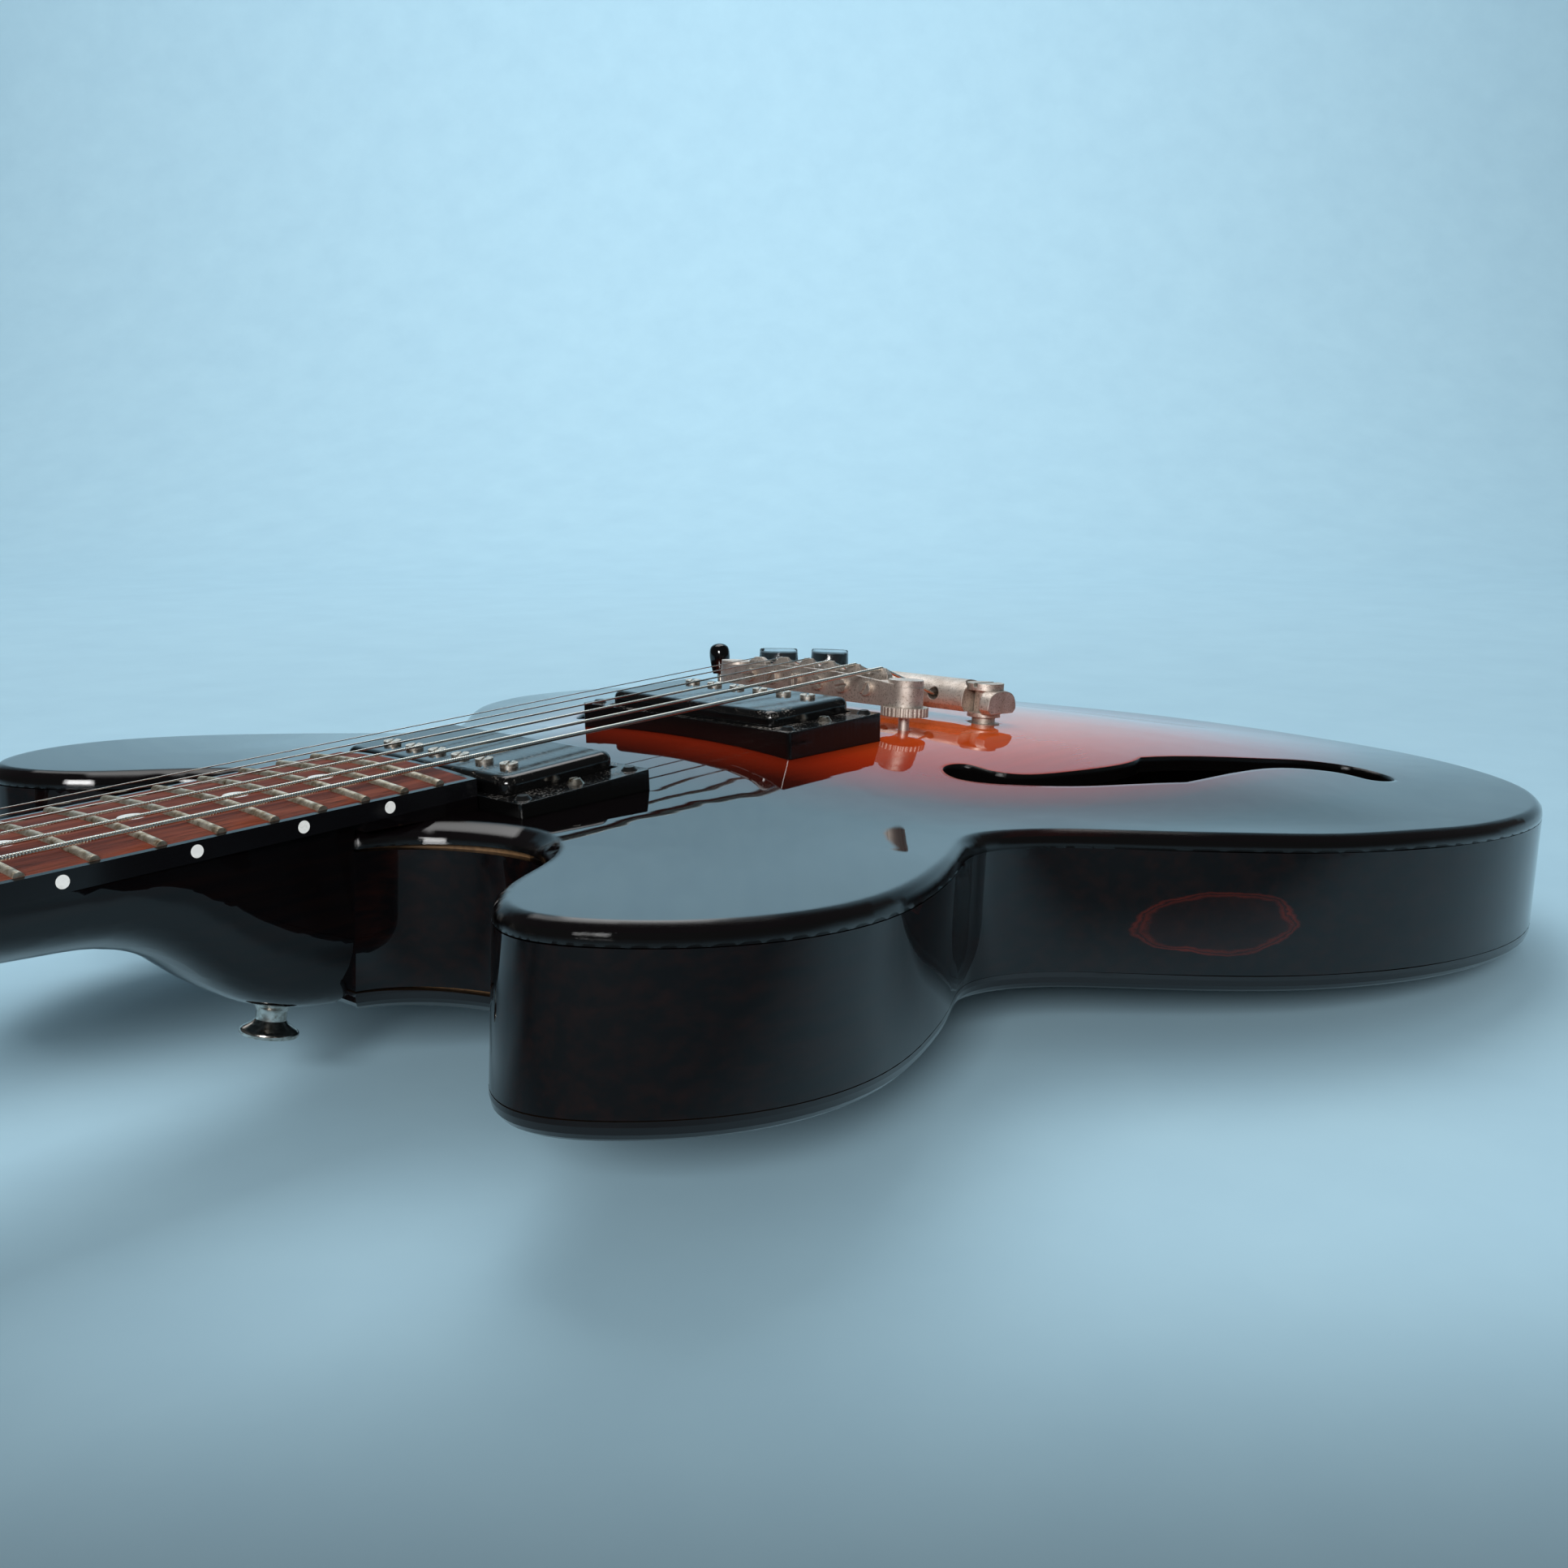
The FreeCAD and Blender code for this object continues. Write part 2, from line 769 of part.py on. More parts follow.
def pickup_route(centre):
    """Cavity under one pickup with a pocket for the legs at its ends."""
    margin = num.route_gap
    low, high = -num.cavity_floor, num.top_arch + num.cut_margin
    half_length, half_width = num.cover_length / 2 + margin, num.cover_width / 2 + margin
    leg_half = num.height_screw_spacing / 2 + num.height_screw_shank + num.free_clearance
    main = box_between((centre - half_width, -half_length, low), (centre + half_width, half_length, high))
    legs = box_between((centre - half_width / 2, -leg_half, low), (centre + half_width / 2, leg_half, high))
    return main.fuse(legs)


def post_places():
    return [(num.post_position, side * num.post_spacing / 2) for side in (-1, 1)]


def stud_places():
    return [(num.tail_position, side * num.stud_spacing / 2) for side in (-1, 1)]


def post_solids():
    """Threaded posts that stand in the block and carry the wheels."""
    return [
        rod((x, y, top_z(x, y) - num.post_depth), (x, y, post_top), num.post_diameter / 2)
        for x, y in post_places()
    ]


def bushing_solids():
    """Sleeves pressed into the block for the tailpiece studs."""
    sleeves = []
    bore = num.stud_thread_diameter / 2 + num.running_clearance
    for x, y in stud_places():
        high = top_z(x, y)
        low = high - num.bushing_length
        outer = rod((x, y, low), (x, y, high), num.bushing_diameter / 2)
        sleeves.append(outer.cut(rod((x, y, low), (x, y, high), bore)))
    return sleeves


def bushing_holes():
    high, radius = num.top_arch + num.cut_margin, num.bushing_diameter / 2
    return [rod((x, y, top_z(x, y) - num.bushing_length), (x, y, high), radius) for x, y in stud_places()]


post_top = num.wheel_height + num.wheel_thickness + num.bridge_body_height / 2
neck_at_joint = (joint_x + num.scale_length * math.cos(math.radians(num.neck_pitch))) / math.cos(
    math.radians(num.neck_pitch))


def tenon_blank(margin):
    """Tongue of the neck that reaches into the block."""
    return box_between(
        (joint_x - margin, -num.tenon_width / 2, -num.tenon_depth),
        (joint_x + num.tenon_length, num.tenon_width / 2, num.top_arch),
    )


def body_group():
    """Arched top and back, bent rim, linings and centre block."""
    plate, depth, low_inside = num.plate_thickness, num.rim_depth, -num.rim_depth + num.plate_thickness
    span = num.rim_depth + num.top_arch
    tail = num.tail_from_bridge + span
    posts, sleeves_holes = post_solids(), bushing_holes() + ring_screw_shanks()
    routes = [pickup_route(num.neck_ring_centre), pickup_route(num.bridge_ring_centre)]
    tenon = tenon_blank(0)
    top = arch_face(top_z, 0).extrude(Vector(0, 0, -plate))
    top = top.common(rolled_prism(0, -plate - num.cut_margin, span))
    holes = [
        through_hole(volume_frame, num.pot_bushing_diameter),
        through_hole(tone_frame, num.pot_bushing_diameter),
        through_hole(toggle_frame, num.toggle_bushing_diameter),
        through_hole(jack_frame, num.jack_bushing_diameter),
    ]
    top = top.cut([f_hole_tool(-1), f_hole_tool(1)] + routes + posts + sleeves_holes + holes + [tenon])
    shaped("top_plate", top)
    back = arch_face(back_z, 0).extrude(Vector(0, 0, plate))
    shaped("back_plate", back.common(rolled_prism(-depth, low_inside + num.cut_margin, -depth - span)))
    gap = num.rim_gap
    rim = body_prism(0, low_inside + gap, -plate - gap)
    rim = rim.cut(body_prism(num.rim_thickness, low_inside, -plate))
    rim = rim.cut([tenon] + button_screws())
    for name, low_y, high_y in (("rim_bass", -num.lower_bout_width, 0), ("rim_treble", 0, num.lower_bout_width)):
        shaped(name, rim.common(box_between((joint_x - span, low_y, -span), (tail, high_y, span))))
    block_ends = num.rim_thickness
    block = box_between(
        (joint_x + block_ends, -num.block_width / 2, -span - depth),
        (num.tail_from_bridge, num.block_width / 2, span),
    ).common(body_prism(num.rim_thickness, -span - depth, span))
    block = block.common(below_top(-plate, span + depth)).common(above_back(plate, span + depth))
    block = block.cut(routes + posts + sleeves_holes + [tenon] + button_screws())
    shaped("centre_block", block)
    linings = []
    for low, high in (
        (-plate - num.lining_depth, -plate - gap), (low_inside + gap, low_inside + num.lining_depth),
    ):
        ring = body_prism(num.rim_thickness, low, high).cut(
            body_prism(num.rim_thickness + num.lining_width, low, high))
        half = num.block_width / 2 + num.running_clearance
        ring = ring.cut(box_between((joint_x - span, -half, low), (tail, half, high)))
        linings += ring.Solids
    shaped("rim_linings", Part.makeCompound(linings))


# Heel profile at even steps of its length: share of the drop, then the squareness of the section
round_squareness = 2.0
heel_shares = [
    (0.0, round_squareness), (0.035, 2.1), (0.115, 2.2), (0.37, 2.6), (0.75, 3.3), (0.93, 4.2), (1.0, 5.0),
]
section_steps = 10


def neck_section(x, half, depth, squareness):
    """D section under the fretboard, squarer towards the heel."""
    top, rise = -num.board_thickness, depth - num.board_thickness
    points = []
    for step in range(section_steps + 1):
        angle = math.pi * step / section_steps
        across = math.copysign(abs(math.cos(angle)) ** (2 / squareness), math.cos(angle))
        down = math.sin(angle) ** (2 / squareness) if 0 < step < section_steps else 0
        points.append(Vector(x, across * half, top - down * rise))
    curve = Part.BSplineCurve()
    curve.interpolate(points)
    return Part.Wire([curve.toShape(), Part.LineSegment(points[-1], points[0]).toShape()])


def shaft_depth(x):
    """Depth of the straight part of the neck at a distance from the nut."""
    return num.neck_depth_nut + (num.neck_depth_twelfth - num.neck_depth_nut) * x / fret_at(12)


heel_start = neck_at_joint - num.heel_length


def heel_depth_at(share):
    """Depth of the heel at a share of its length."""
    place = min(1.0, max(0.0, share)) * (len(heel_shares) - 1)
    low = min(int(place), len(heel_shares) - 2)
    drop = heel_shares[low][0] + (heel_shares[low + 1][0] - heel_shares[low][0]) * (place - low)
    return shaft_depth(heel_start) + drop * (num.heel_depth - shaft_depth(heel_start))


def neck_loft():
    """Straight shaft from under the nut, and a heel that runs past the body joint."""
    shaft_end = heel_start - num.heel_length / (len(heel_shares) - 1)
    shaft = Part.makeLoft([
        neck_section(x, board_width(x) / 2, shaft_depth(x), round_squareness) for x in (-num.nut_thickness, shaft_end)
    ], True, True)
    half = board_width(shaft_end) / 2
    sections = [neck_section(shaft_end, half, shaft_depth(shaft_end), round_squareness)]
    for step, (drop, squareness) in enumerate(heel_shares):
        share = step / (len(heel_shares) - 1)
        x = heel_start + share * num.heel_length
        half = (board_width(x) + (num.joint_width - board_width(x)) * share) / 2
        sections.append(neck_section(x, half, heel_depth_at(share), squareness))
    past = neck_at_joint + num.heel_length / (len(heel_shares) - 1)
    sections.append(neck_section(past, num.joint_width / 2, num.heel_depth, heel_shares[-1][1]))
    return shaft.fuse(Part.makeLoft(sections, True, False))


def head_half(x):
    """Half width of the headstock at a distance from the nut."""
    flare = num.headstock_start_width / 2
    share = (x - flare) / (num.headstock_length - flare)
    return (num.headstock_start_width + (num.headstock_end_width - num.headstock_start_width) * share) / 2


# Crests of the arcs at the headstock's flare and corners: along, then across
flare_shares = (0.55, 0.3)
corner_shares = (0.55, 0.72)


def headstock_blank():
    """Plain flared paddle with a straight end and round corners."""
    length, tip = num.headstock_length, num.headstock_tip_width / 2
    flare = num.headstock_start_width / 2
    shoulder = length - num.headstock_corner * 2
    near, far = num.nut_width / 2, head_half(shoulder)
    flare_mid = Vector(-flare * flare_shares[0], near + (head_half(flare) - near) * flare_shares[1], 0)
    corner_x = -length + num.headstock_corner * corner_shares[0]
    corner_mid = Vector(corner_x, tip + (far - tip) * corner_shares[1], 0)
    edges = []
    for side in (1, -1):
        points = [
            Vector(0, near, 0), Vector(-flare, head_half(flare), 0), Vector(-shoulder, far, 0),
            Vector(-length, tip, 0),
        ]
        points = [Vector(p.x, side * p.y, 0) for p in points]
        edges.append(Part.Arc(points[0], Vector(flare_mid.x, side * flare_mid.y, 0), points[1]).toShape())
        edges.append(Part.LineSegment(points[1], points[2]).toShape())
        edges.append(Part.Arc(points[2], Vector(corner_mid.x, side * corner_mid.y, 0), points[3]).toShape())
    edges.append(Part.LineSegment(Vector(-length, tip, 0), Vector(-length, -tip, 0)).toShape())
    edges.append(Part.LineSegment(Vector(0, near, 0), Vector(0, -near, 0)).toShape())
    face = Part.Face(Part.Wire(Part.__sortEdges__(edges)))
    return face.extrude(Vector(0, 0, -num.headstock_thickness))


def tuner_spot(index):
    """Post centre in the headstock frame, low string first, and its side."""
    order = index if index < 3 else 5 - index
    side = -1 if index < 3 else 1
    x = num.first_tuner + order * num.tuner_spacing
    inset = num.tuner_inset_start + (num.tuner_inset_end - num.tuner_inset_start) * order / 2
    return -x, side * (head_half(x) - inset), side


def cover_screw_places():
    inset = num.small_screw_head
    start = -num.nut_thickness / 2
    return [
        (start - inset, -num.rod_cover_width / 2 + inset), (start - inset, num.rod_cover_width / 2 - inset),
        (start - num.rod_cover_length + inset, 0),
    ]


def small_screw(x, y, z, down):
    """Round head over a shank that points down or up."""
    spot, height = Vector(x, y, z), num.small_screw_head_height
    head = Part.makeCone(num.small_screw_head / 2, num.small_screw_shank / 2, height, spot, UP * -down)
    shank = Part.makeCylinder(num.small_screw_shank / 2, num.small_screw_length, spot, UP * down)
    return head.fuse(shank)


def housing_tab_x(index):
    return tuner_spot(index)[0] - num.tuner_gear_diameter / 2 - num.housing_wall - num.small_screw_head


def headstock_screws():
    top = num.rod_cover_thickness
    screws = [small_screw(x, y, top, -1) for x, y in cover_screw_places()]
    low = -num.headstock_thickness - 2 * num.housing_wall
    screws += [small_screw(housing_tab_x(i), tuner_spot(i)[1], low, 1) for i in range(6)]
    return screws


def neck_group():
    reach, tall = num.lower_bout_width, 2 * num.rim_depth
    inside = box_between((joint_x, -reach, -tall), (joint_x + reach, reach, tall))
    wood = moved(neck_loft(), neck_frame).cut(inside)
    under_board = moved(box_between(
        (neck_at_joint - num.cut_margin, -num.board_end_width / 2, -num.rim_depth),
        (board_length, num.board_end_width / 2, -num.board_thickness)), neck_frame)
    shelf = under_board.cut(below_top(0, tall)).common(inside)
    tongue_limit = moved(box_between(
        (0, -num.tenon_width, -tall), (2 * neck_at_joint, num.tenon_width, -num.board_thickness)), neck_frame)
    tongue = tenon_blank(num.cut_margin).common(tongue_limit)
    head = moved(headstock_blank(), head_frame)
    mouth, rod_z = -num.rod_pocket_length, -num.rod_depth
    bore = rod((mouth, 0, rod_z), (neck_at_joint, 0, rod_z), num.rod_diameter / 2 + num.rod_clearance)
    pocket = rod((mouth, 0, rod_z), (-num.cut_margin, 0, rod_z), num.rod_nut_diameter / 2 + 3 * num.rod_clearance)
    thick, hole_radius = num.headstock_thickness, num.tuner_bushing_diameter / 2
    tuner_holes = [rod((x, y, -2 * thick), (x, y, thick), hole_radius) for x, y, _ in map(tuner_spot, range(6))]
    wood = wood.fuse([shelf, tongue, head])
    wood = wood.cut([moved(bore, neck_frame), moved(pocket, neck_frame)])
    wood = wood.cut([moved(tool, head_frame) for tool in tuner_holes + headstock_screws()])
    wood = wood.cut(button_screws())
    shaped("neck", wood.removeSplitter())
    nut_end = -num.nut_thickness
    rod_body = rod((nut_end, 0, rod_z), (neck_at_joint - num.cut_margin, 0, rod_z), num.rod_diameter / 2)
    rod_nut = rod((nut_end - num.rod_nut_length, 0, rod_z), (nut_end, 0, rod_z), num.rod_nut_diameter / 2)
    shaped("truss_rod", Part.makeCompound([rod_body, rod_nut]), neck_frame)
    truss_rod_cover_group()


def truss_rod_cover_group():
    """Tapered cover over the rod's pocket, and the small screws of the headstock."""
    start = -size.nut_thickness / 2
    end, half, tip = start - size.rod_cover_length, size.rod_cover_width / 2, size.rod_cover_tip_width / 2
    cover = padded("truss_rod_cover_blank", [
        (start, -half), (start, half), (end, tip), (end, -tip),
    ], size.rod_cover_thickness)
    screws = headstock_screws()
    pierced = cover.Shape.cut(screws)
    doc.removeObject(cover.Name)
    shaped("truss_rod_cover", pierced, head_frame)
    shaped("headstock_screws", Part.makeCompound(screws), head_frame)


def nut_group():
    """Nut blank with a slot for each string."""
    low = -num.board_thickness
    blank = box_between((-num.nut_thickness, -num.nut_width / 2, low), (0, num.nut_width / 2, num.nut_rise))
    shaped("nut", blank.cut([nut_slot(i) for i in range(6)]), neck_frame)


def string_y(index, spread):
    return STRING_SHARES[index] * spread


def string_points(index):
    """Ball end, saddle, nut and post ends of one string in the instrument frame."""
    radius = gauge(index) / 2
    y_bridge = string_y(index, num.string_spread)
    y_nut = string_y(index, num.nut_string_spread)
    tail_z = num.tail_height + num.tail_bar_height / 2
    ball = Vector(num.tail_position + num.tail_bar_width / 2 - num.string_hole_diameter, y_bridge, tail_z)
    front = Vector(num.tail_position - num.tail_bar_width / 2, y_bridge, tail_z)
    saddle = Vector(saddle_x(index), y_bridge, string_bottom_z(index) + radius)
    nut_z = num.string_height_at_nut - crown_drop(abs(y_nut)) + radius
    nut_front = neck_frame.multVec(Vector(0, y_nut, nut_z))
    nut_back = neck_frame.multVec(Vector(-num.nut_thickness, y_nut, nut_z))
    post = head_frame.multVec(winding_spot(index, 0)[0])
    post += (nut_back - post).normalize() * num.free_clearance
    return [ball, front, saddle, nut_front, nut_back, post]


def string_bottom_z(index):
    """Underside of a string where it crosses its saddle."""
    return num.string_height_at_bridge - crown_drop(abs(string_y(index, num.string_spread)))


def string_solid(index):
    """Straight runs joined at mitred bends over the saddle and the nut."""
    points = string_points(index)
    radius = gauge(index) / 2
    rings = []
    for before, spot, after in zip(points[:1] + points, points, points[1:] + points[-1:]):
        rings.append(Part.Wire(Part.makeCircle(radius, spot, after - before)))
    return Part.makeLoft(rings, True, True)


ball_length_share = 0.7


def ball_end(index):
    """Small drum that stops the string inside the tailpiece."""
    start = string_points(index)[0]
    end = start + Vector(num.string_hole_diameter * ball_length_share, 0, 0)
    return rod(tuple(start), tuple(end), (num.string_hole_diameter - num.free_clearance) / 2)


def nut_slot(index):
    """Round-bottomed slot through the nut, open above, in the neck frame."""
    front, back = [neck_frame.inverse().multVec(point) for point in string_points(index)[3:5]]
    radius = gauge(index) / 2 + num.running_clearance
    reach = Vector(num.cut_margin, 0, 0)
    groove = rod(front + reach, back - reach, radius)
    mouth = box_between((back.x - num.cut_margin, front.y - radius, front.z),
                        (front.x + num.cut_margin, front.y + radius, front.z + num.nut_rise))
    return groove.fuse(mouth)


def strings_group():
    solids = [string_solid(i) for i in range(6)]
    ends = [ball_end(i) for i in range(6)]
    shaped("wound_strings", Part.makeCompound(solids[:3] + ends[:3]))
    shaped("plain_strings", Part.makeCompound(solids[3:] + ends[3:]))


gear_root_share = 0.86


def gear_blank(x, y, z):
    """Toothed wheel on the post's lower end."""
    teeth = int(num.tuner_gear_teeth)
    tip = num.tuner_gear_diameter / 2
    root = tip * gear_root_share
    points = []
    for step in range(2 * teeth):
        radius = tip if step % 2 else root
        angle = math.pi * step / teeth
        points.append(Vector(x + radius * math.cos(angle), y + radius * math.sin(angle), z))
    face = Part.Face(Part.makePolygon(points + points[:1]))
    return face.extrude(Vector(0, 0, num.tuner_gear_height))


def biarc(start, end, start_way, end_way):
    """Two arcs that join two points and leave along given unit directions."""
    span, ways = end - start, start_way + end_way
    spread = 2 * (1 - start_way.dot(end_way))
    lean = span.dot(ways)
    reach = (math.sqrt(lean * lean + spread * span.dot(span)) - lean) / spread
    corners = [start + start_way * reach, end - end_way * reach]
    middle = (corners[0] + corners[1]) / 2
    arcs = []
    for near, corner, far in ((start, corners[0], middle), (middle, corners[1], end)):
        chord_middle = (near + far) / 2
        half_angle = math.acos((far - near).Length / 2 / reach)
        crest = chord_middle + (corner - chord_middle) * (math.tan(half_angle / 2) / math.tan(half_angle))
        arcs.append(Part.Arc(near, crest, far).toShape())
    return arcs


def winding_spot(index, turn):
    """Point and direction of the string on its post after a number of turns."""
    x, y, side = tuner_spot(index)
    wire = gauge(index)
    radius = (num.tuner_post_diameter + wire) / 2 + num.running_clearance
    pitch = wire + num.winding_gap
    angle = -side * math.pi * (1 / 2 + 2 * turn)
    spot = Vector(x + radius * math.cos(angle), y + radius * math.sin(angle), num.winding_height - pitch * turn)
    way = Vector(side * math.sin(angle), -side * math.cos(angle), -pitch / (2 * math.pi * radius))
    return spot, way.normalize()


def winding(index):
    """Turns of string round a post, wound down from where the string arrives."""
    arcs = []
    halves = int(num.winding_turns) * 2
    for step in range(halves):
        start, start_way = winding_spot(index, step / 2)
        end, end_way = winding_spot(index, (step + 1) / 2)
        arcs += biarc(start, end, start_way, end_way)
    start, start_way = winding_spot(index, 0)
    profile = Part.Wire(Part.makeCircle(gauge(index) / 2, start, start_way))
    return Part.Wire(arcs).makePipeShell([profile], True, False)


turn_samples = 24


def winding_clearance(index):
    """Least free distance between neighbouring turns, measured on points."""
    count = int(num.winding_turns) * turn_samples + 1
    points = [winding_spot(index, step / turn_samples)[0] for step in range(count)]
    apart = turn_samples // 2
    gaps = [(points[i] - points[j]).Length for i in range(count) for j in range(i + apart, count)]
    return min(gaps) - gauge(index)


def worm_place(index):
    """Axis of a tuner's worm and key shaft in the headstock frame."""
    x, y, side = tuner_spot(index)
    reach = (num.tuner_gear_diameter + num.worm_diameter) / 2 + num.free_clearance
    return x + reach, y, side, -num.headstock_thickness - num.housing_height / 2


def key_ends(index):
    """Where a key shaft starts in its housing and where it ends in the key."""
    _, y, side, _ = worm_place(index)
    return y - side * num.worm_length / 2, y + side * (num.key_shaft_length + num.housing_width / 2)


def housing_solid(index):
    """Stamped cover over worm and gear, with a tab for its screw."""
    x, y, _ = tuner_spot(index)
    worm_x, _, _, shaft_z = worm_place(index)
    bottom, wall, height, half = -num.headstock_thickness, num.housing_wall, num.housing_height, num.housing_width / 2
    low_x = x - num.tuner_gear_diameter / 2 - num.free_clearance - wall
    high_x = worm_x + num.worm_diameter / 2 + num.free_clearance + wall
    outer = box_between((low_x, y - half, bottom - height), (high_x, y + half, bottom))
    inner = box_between((low_x + wall, y - half + wall, bottom - height + wall), (high_x - wall, y + half - wall, bottom))
    tab_half = num.small_screw_head
    tab = box_between((low_x - 2 * tab_half, y - tab_half, bottom - 2 * wall), (low_x, y + tab_half, bottom))
    bore_radius = num.key_shaft_diameter / 2 + num.running_clearance
    bore = rod((worm_x, y, shaft_z), (worm_x, key_ends(index)[1], shaft_z), bore_radius)
    screw = small_screw(housing_tab_x(index), y, bottom - 2 * wall, 1)
    return outer.cut(inner).fuse(tab).cut([bore, screw])


def key_solids(index):
    """Worm on its shaft, and the oval button pressed on the shaft's end."""
    worm_x, y, side, shaft_z = worm_place(index)
    start, end = key_ends(index)
    radius = num.key_shaft_diameter / 2
    shaft = rod((worm_x, start, shaft_z), (worm_x, end, shaft_z), radius)
    worm = rod((worm_x, start, shaft_z), (worm_x, y + side * num.worm_length / 2, shaft_z), num.worm_diameter / 2)
    middle = Vector(worm_x - num.key_thickness / 2, end, shaft_z)
    oval = Part.Ellipse(middle, num.key_width / 2, num.key_height / 2)
    plate = Part.Face(Part.Wire(oval.toShape()))
    plate.rotate(middle, ACROSS, 90)
    plate = plate.extrude(Vector(num.key_thickness, 0, 0))
    return [shaft.fuse(worm), plate.cut(rod((worm_x, y, shaft_z), (worm_x, end, shaft_z), radius))]


def post_pieces(index):
    """String post, its gear, and the string wound on it."""
    x, y, _ = tuner_spot(index)
    gear_z = worm_place(index)[3] - num.tuner_gear_height / 2
    post = rod((x, y, gear_z), (x, y, num.tuner_post_height), num.tuner_post_diameter / 2)
    return [post, gear_blank(x, y, gear_z).cut(post), winding(index)]


def bushing_solid(index):
    """Flanged sleeve in the headstock, bored for the post."""
    x, y, _ = tuner_spot(index)
    low, high = -num.headstock_thickness, num.tuner_bushing_flange_height
    sleeve = rod((x, y, low), (x, y, 0), num.tuner_bushing_diameter / 2)
    flange = rod((x, y, 0), (x, y, high), num.tuner_bushing_flange / 2)
    bore = rod((x, y, low), (x, y, high), num.tuner_post_diameter / 2 + num.running_clearance)
    return sleeve.fuse(flange).cut(bore)


def tuner_group():
    for index in range(6):
        shaped(f"tuner_key_{index + 1}", Part.makeCompound(key_solids(index)), head_frame)
        shaped(f"string_post_{index + 1}", Part.makeCompound(post_pieces(index)), head_frame)
    shaped("tuner_housings", Part.makeCompound([housing_solid(i) for i in range(6)]), head_frame)
    shaped("tuner_bushings", Part.makeCompound([bushing_solid(i) for i in range(6)]), head_frame)


def button_screws():
    """Wood screws that hold the strap buttons, heel first, then tail."""
    heel, tail = button_frames()
    screw = rod((0, 0, -num.button_screw_length), (0, 0, 0), num.button_screw_diameter / 2)
    return [moved(screw, frame) for frame in (heel, tail)]


def button_frames():
    """Where the strap buttons stand: under the heel and on the tail."""
    share = num.heel_button_share
    step = 1 / len(heel_shares)
    slope = (heel_depth_at(share + step) - heel_depth_at(share - step)) / (2 * step * num.heel_length)
    spot = Vector(heel_start + share * num.heel_length, 0, -heel_depth_at(share) - num.free_clearance)
    heel = neck_frame.multiply(Placement(spot, Rotation(UP, Vector(-slope, 0, -1))))
    tail = Placement(Vector(num.tail_from_bridge, 0, -num.rim_depth / 2), Rotation(ACROSS, 90))
    return heel, tail


def ring_frame(centre, height, slope):
    """Top face of a mounting ring, tilted with the strings."""
    return at(centre, 0, height, Rotation(ACROSS, -slope))


neck_ring_frame = ring_frame(num.neck_ring_centre, num.neck_ring_height, num.neck_ring_slope)
bridge_ring_frame = ring_frame(num.bridge_ring_centre, num.bridge_ring_height, num.bridge_ring_slope)


def ring_screw_places():
    x, y = num.ring_width / 2 - num.ring_screw_inset, num.ring_length / 2 - num.ring_screw_inset
    return [(sx * x, sy * y) for sx in (-1, 1) for sy in (-1, 1)]


def height_screw_places():
    return [(0, side * num.height_screw_spacing / 2) for side in (-1, 1)]


def ring_screw_length(foot):
    """Shank length of a corner screw, from the ring's face into the top."""
    return foot.z - top_z(foot.x, foot.y) + num.plate_thickness + num.cut_margin


def ring_screw_shanks():
    """Shanks of the corner screws, which are also their pilot holes."""
    shanks = []
    for frame in (neck_ring_frame, bridge_ring_frame):
        for x, y in ring_screw_places():
            length = ring_screw_length(frame.multVec(Vector(x, y, 0)))
            shanks.append(moved(rod((x, y, 0), (x, y, -length), num.small_screw_shank / 2), frame))
    return shanks


def domed_head(x, y, radius, height):
    """Low round head that stands on a face."""
    return Part.makeCone(radius, radius * (1 - num.head_taper_share), height, Vector(x, y, 0))


def ring_screw_solids(frame):
    """Corner screws into the top and height screws into the pickup's legs."""
    screws = []
    head, shank = num.small_screw_head / 2, num.small_screw_shank / 2
    for x, y in ring_screw_places():
        length = ring_screw_length(frame.multVec(Vector(x, y, 0)))
        dome = domed_head(x, y, head, num.ring_screw_head_height)
        screws.append(dome.fuse(rod((x, y, 0), (x, y, -length), shank)))
    head, shank = num.height_screw_head / 2, num.height_screw_shank / 2
    for x, y in height_screw_places():
        dome = domed_head(x, y, head, num.small_screw_head_height)
        half_slot, deep = num.screw_slot_width / 2, num.small_screw_head_height / 2
        slot = box_between((x - 2 * head, y - half_slot, deep), (x + 2 * head, y + half_slot, 2 * head))
        whole = dome.fuse(rod((x, y, 0), (x, y, -num.height_screw_length), shank))
        screws.append(whole.cut(slot))
    return [moved(screw, frame) for screw in screws]


def pickup_ring(name, frame, screws):
    """Raised frame round a pickup, its foot shaped to the arched top."""
    body = padded(name + "_blank", rectangle(size.ring_width, size.ring_length), size.top_arch * 2)
    opening_length = size.cover_length + size.free_clearance * 2
    opening_width = size.cover_width + size.free_clearance * 2
    pocketed(body, rectangle(opening_width, opening_length), size.top_arch * 2, reverse=True)
    rounded(body, size.ring_edge_radius, lambda edge: vertical(edge) and abs(
        edge.BoundBox.Center.y) > num.cover_length / 2 + num.free_clearance * 2)
    body.Placement = frame.multiply(at(0, 0, -2 * num.top_arch))
    doc.recompute()
    trimmed = body.Shape.cut(below_top(0, num.rim_depth)).cut(screws)
    doc.removeObject(body.Name)
    return shaped(name, trimmed)


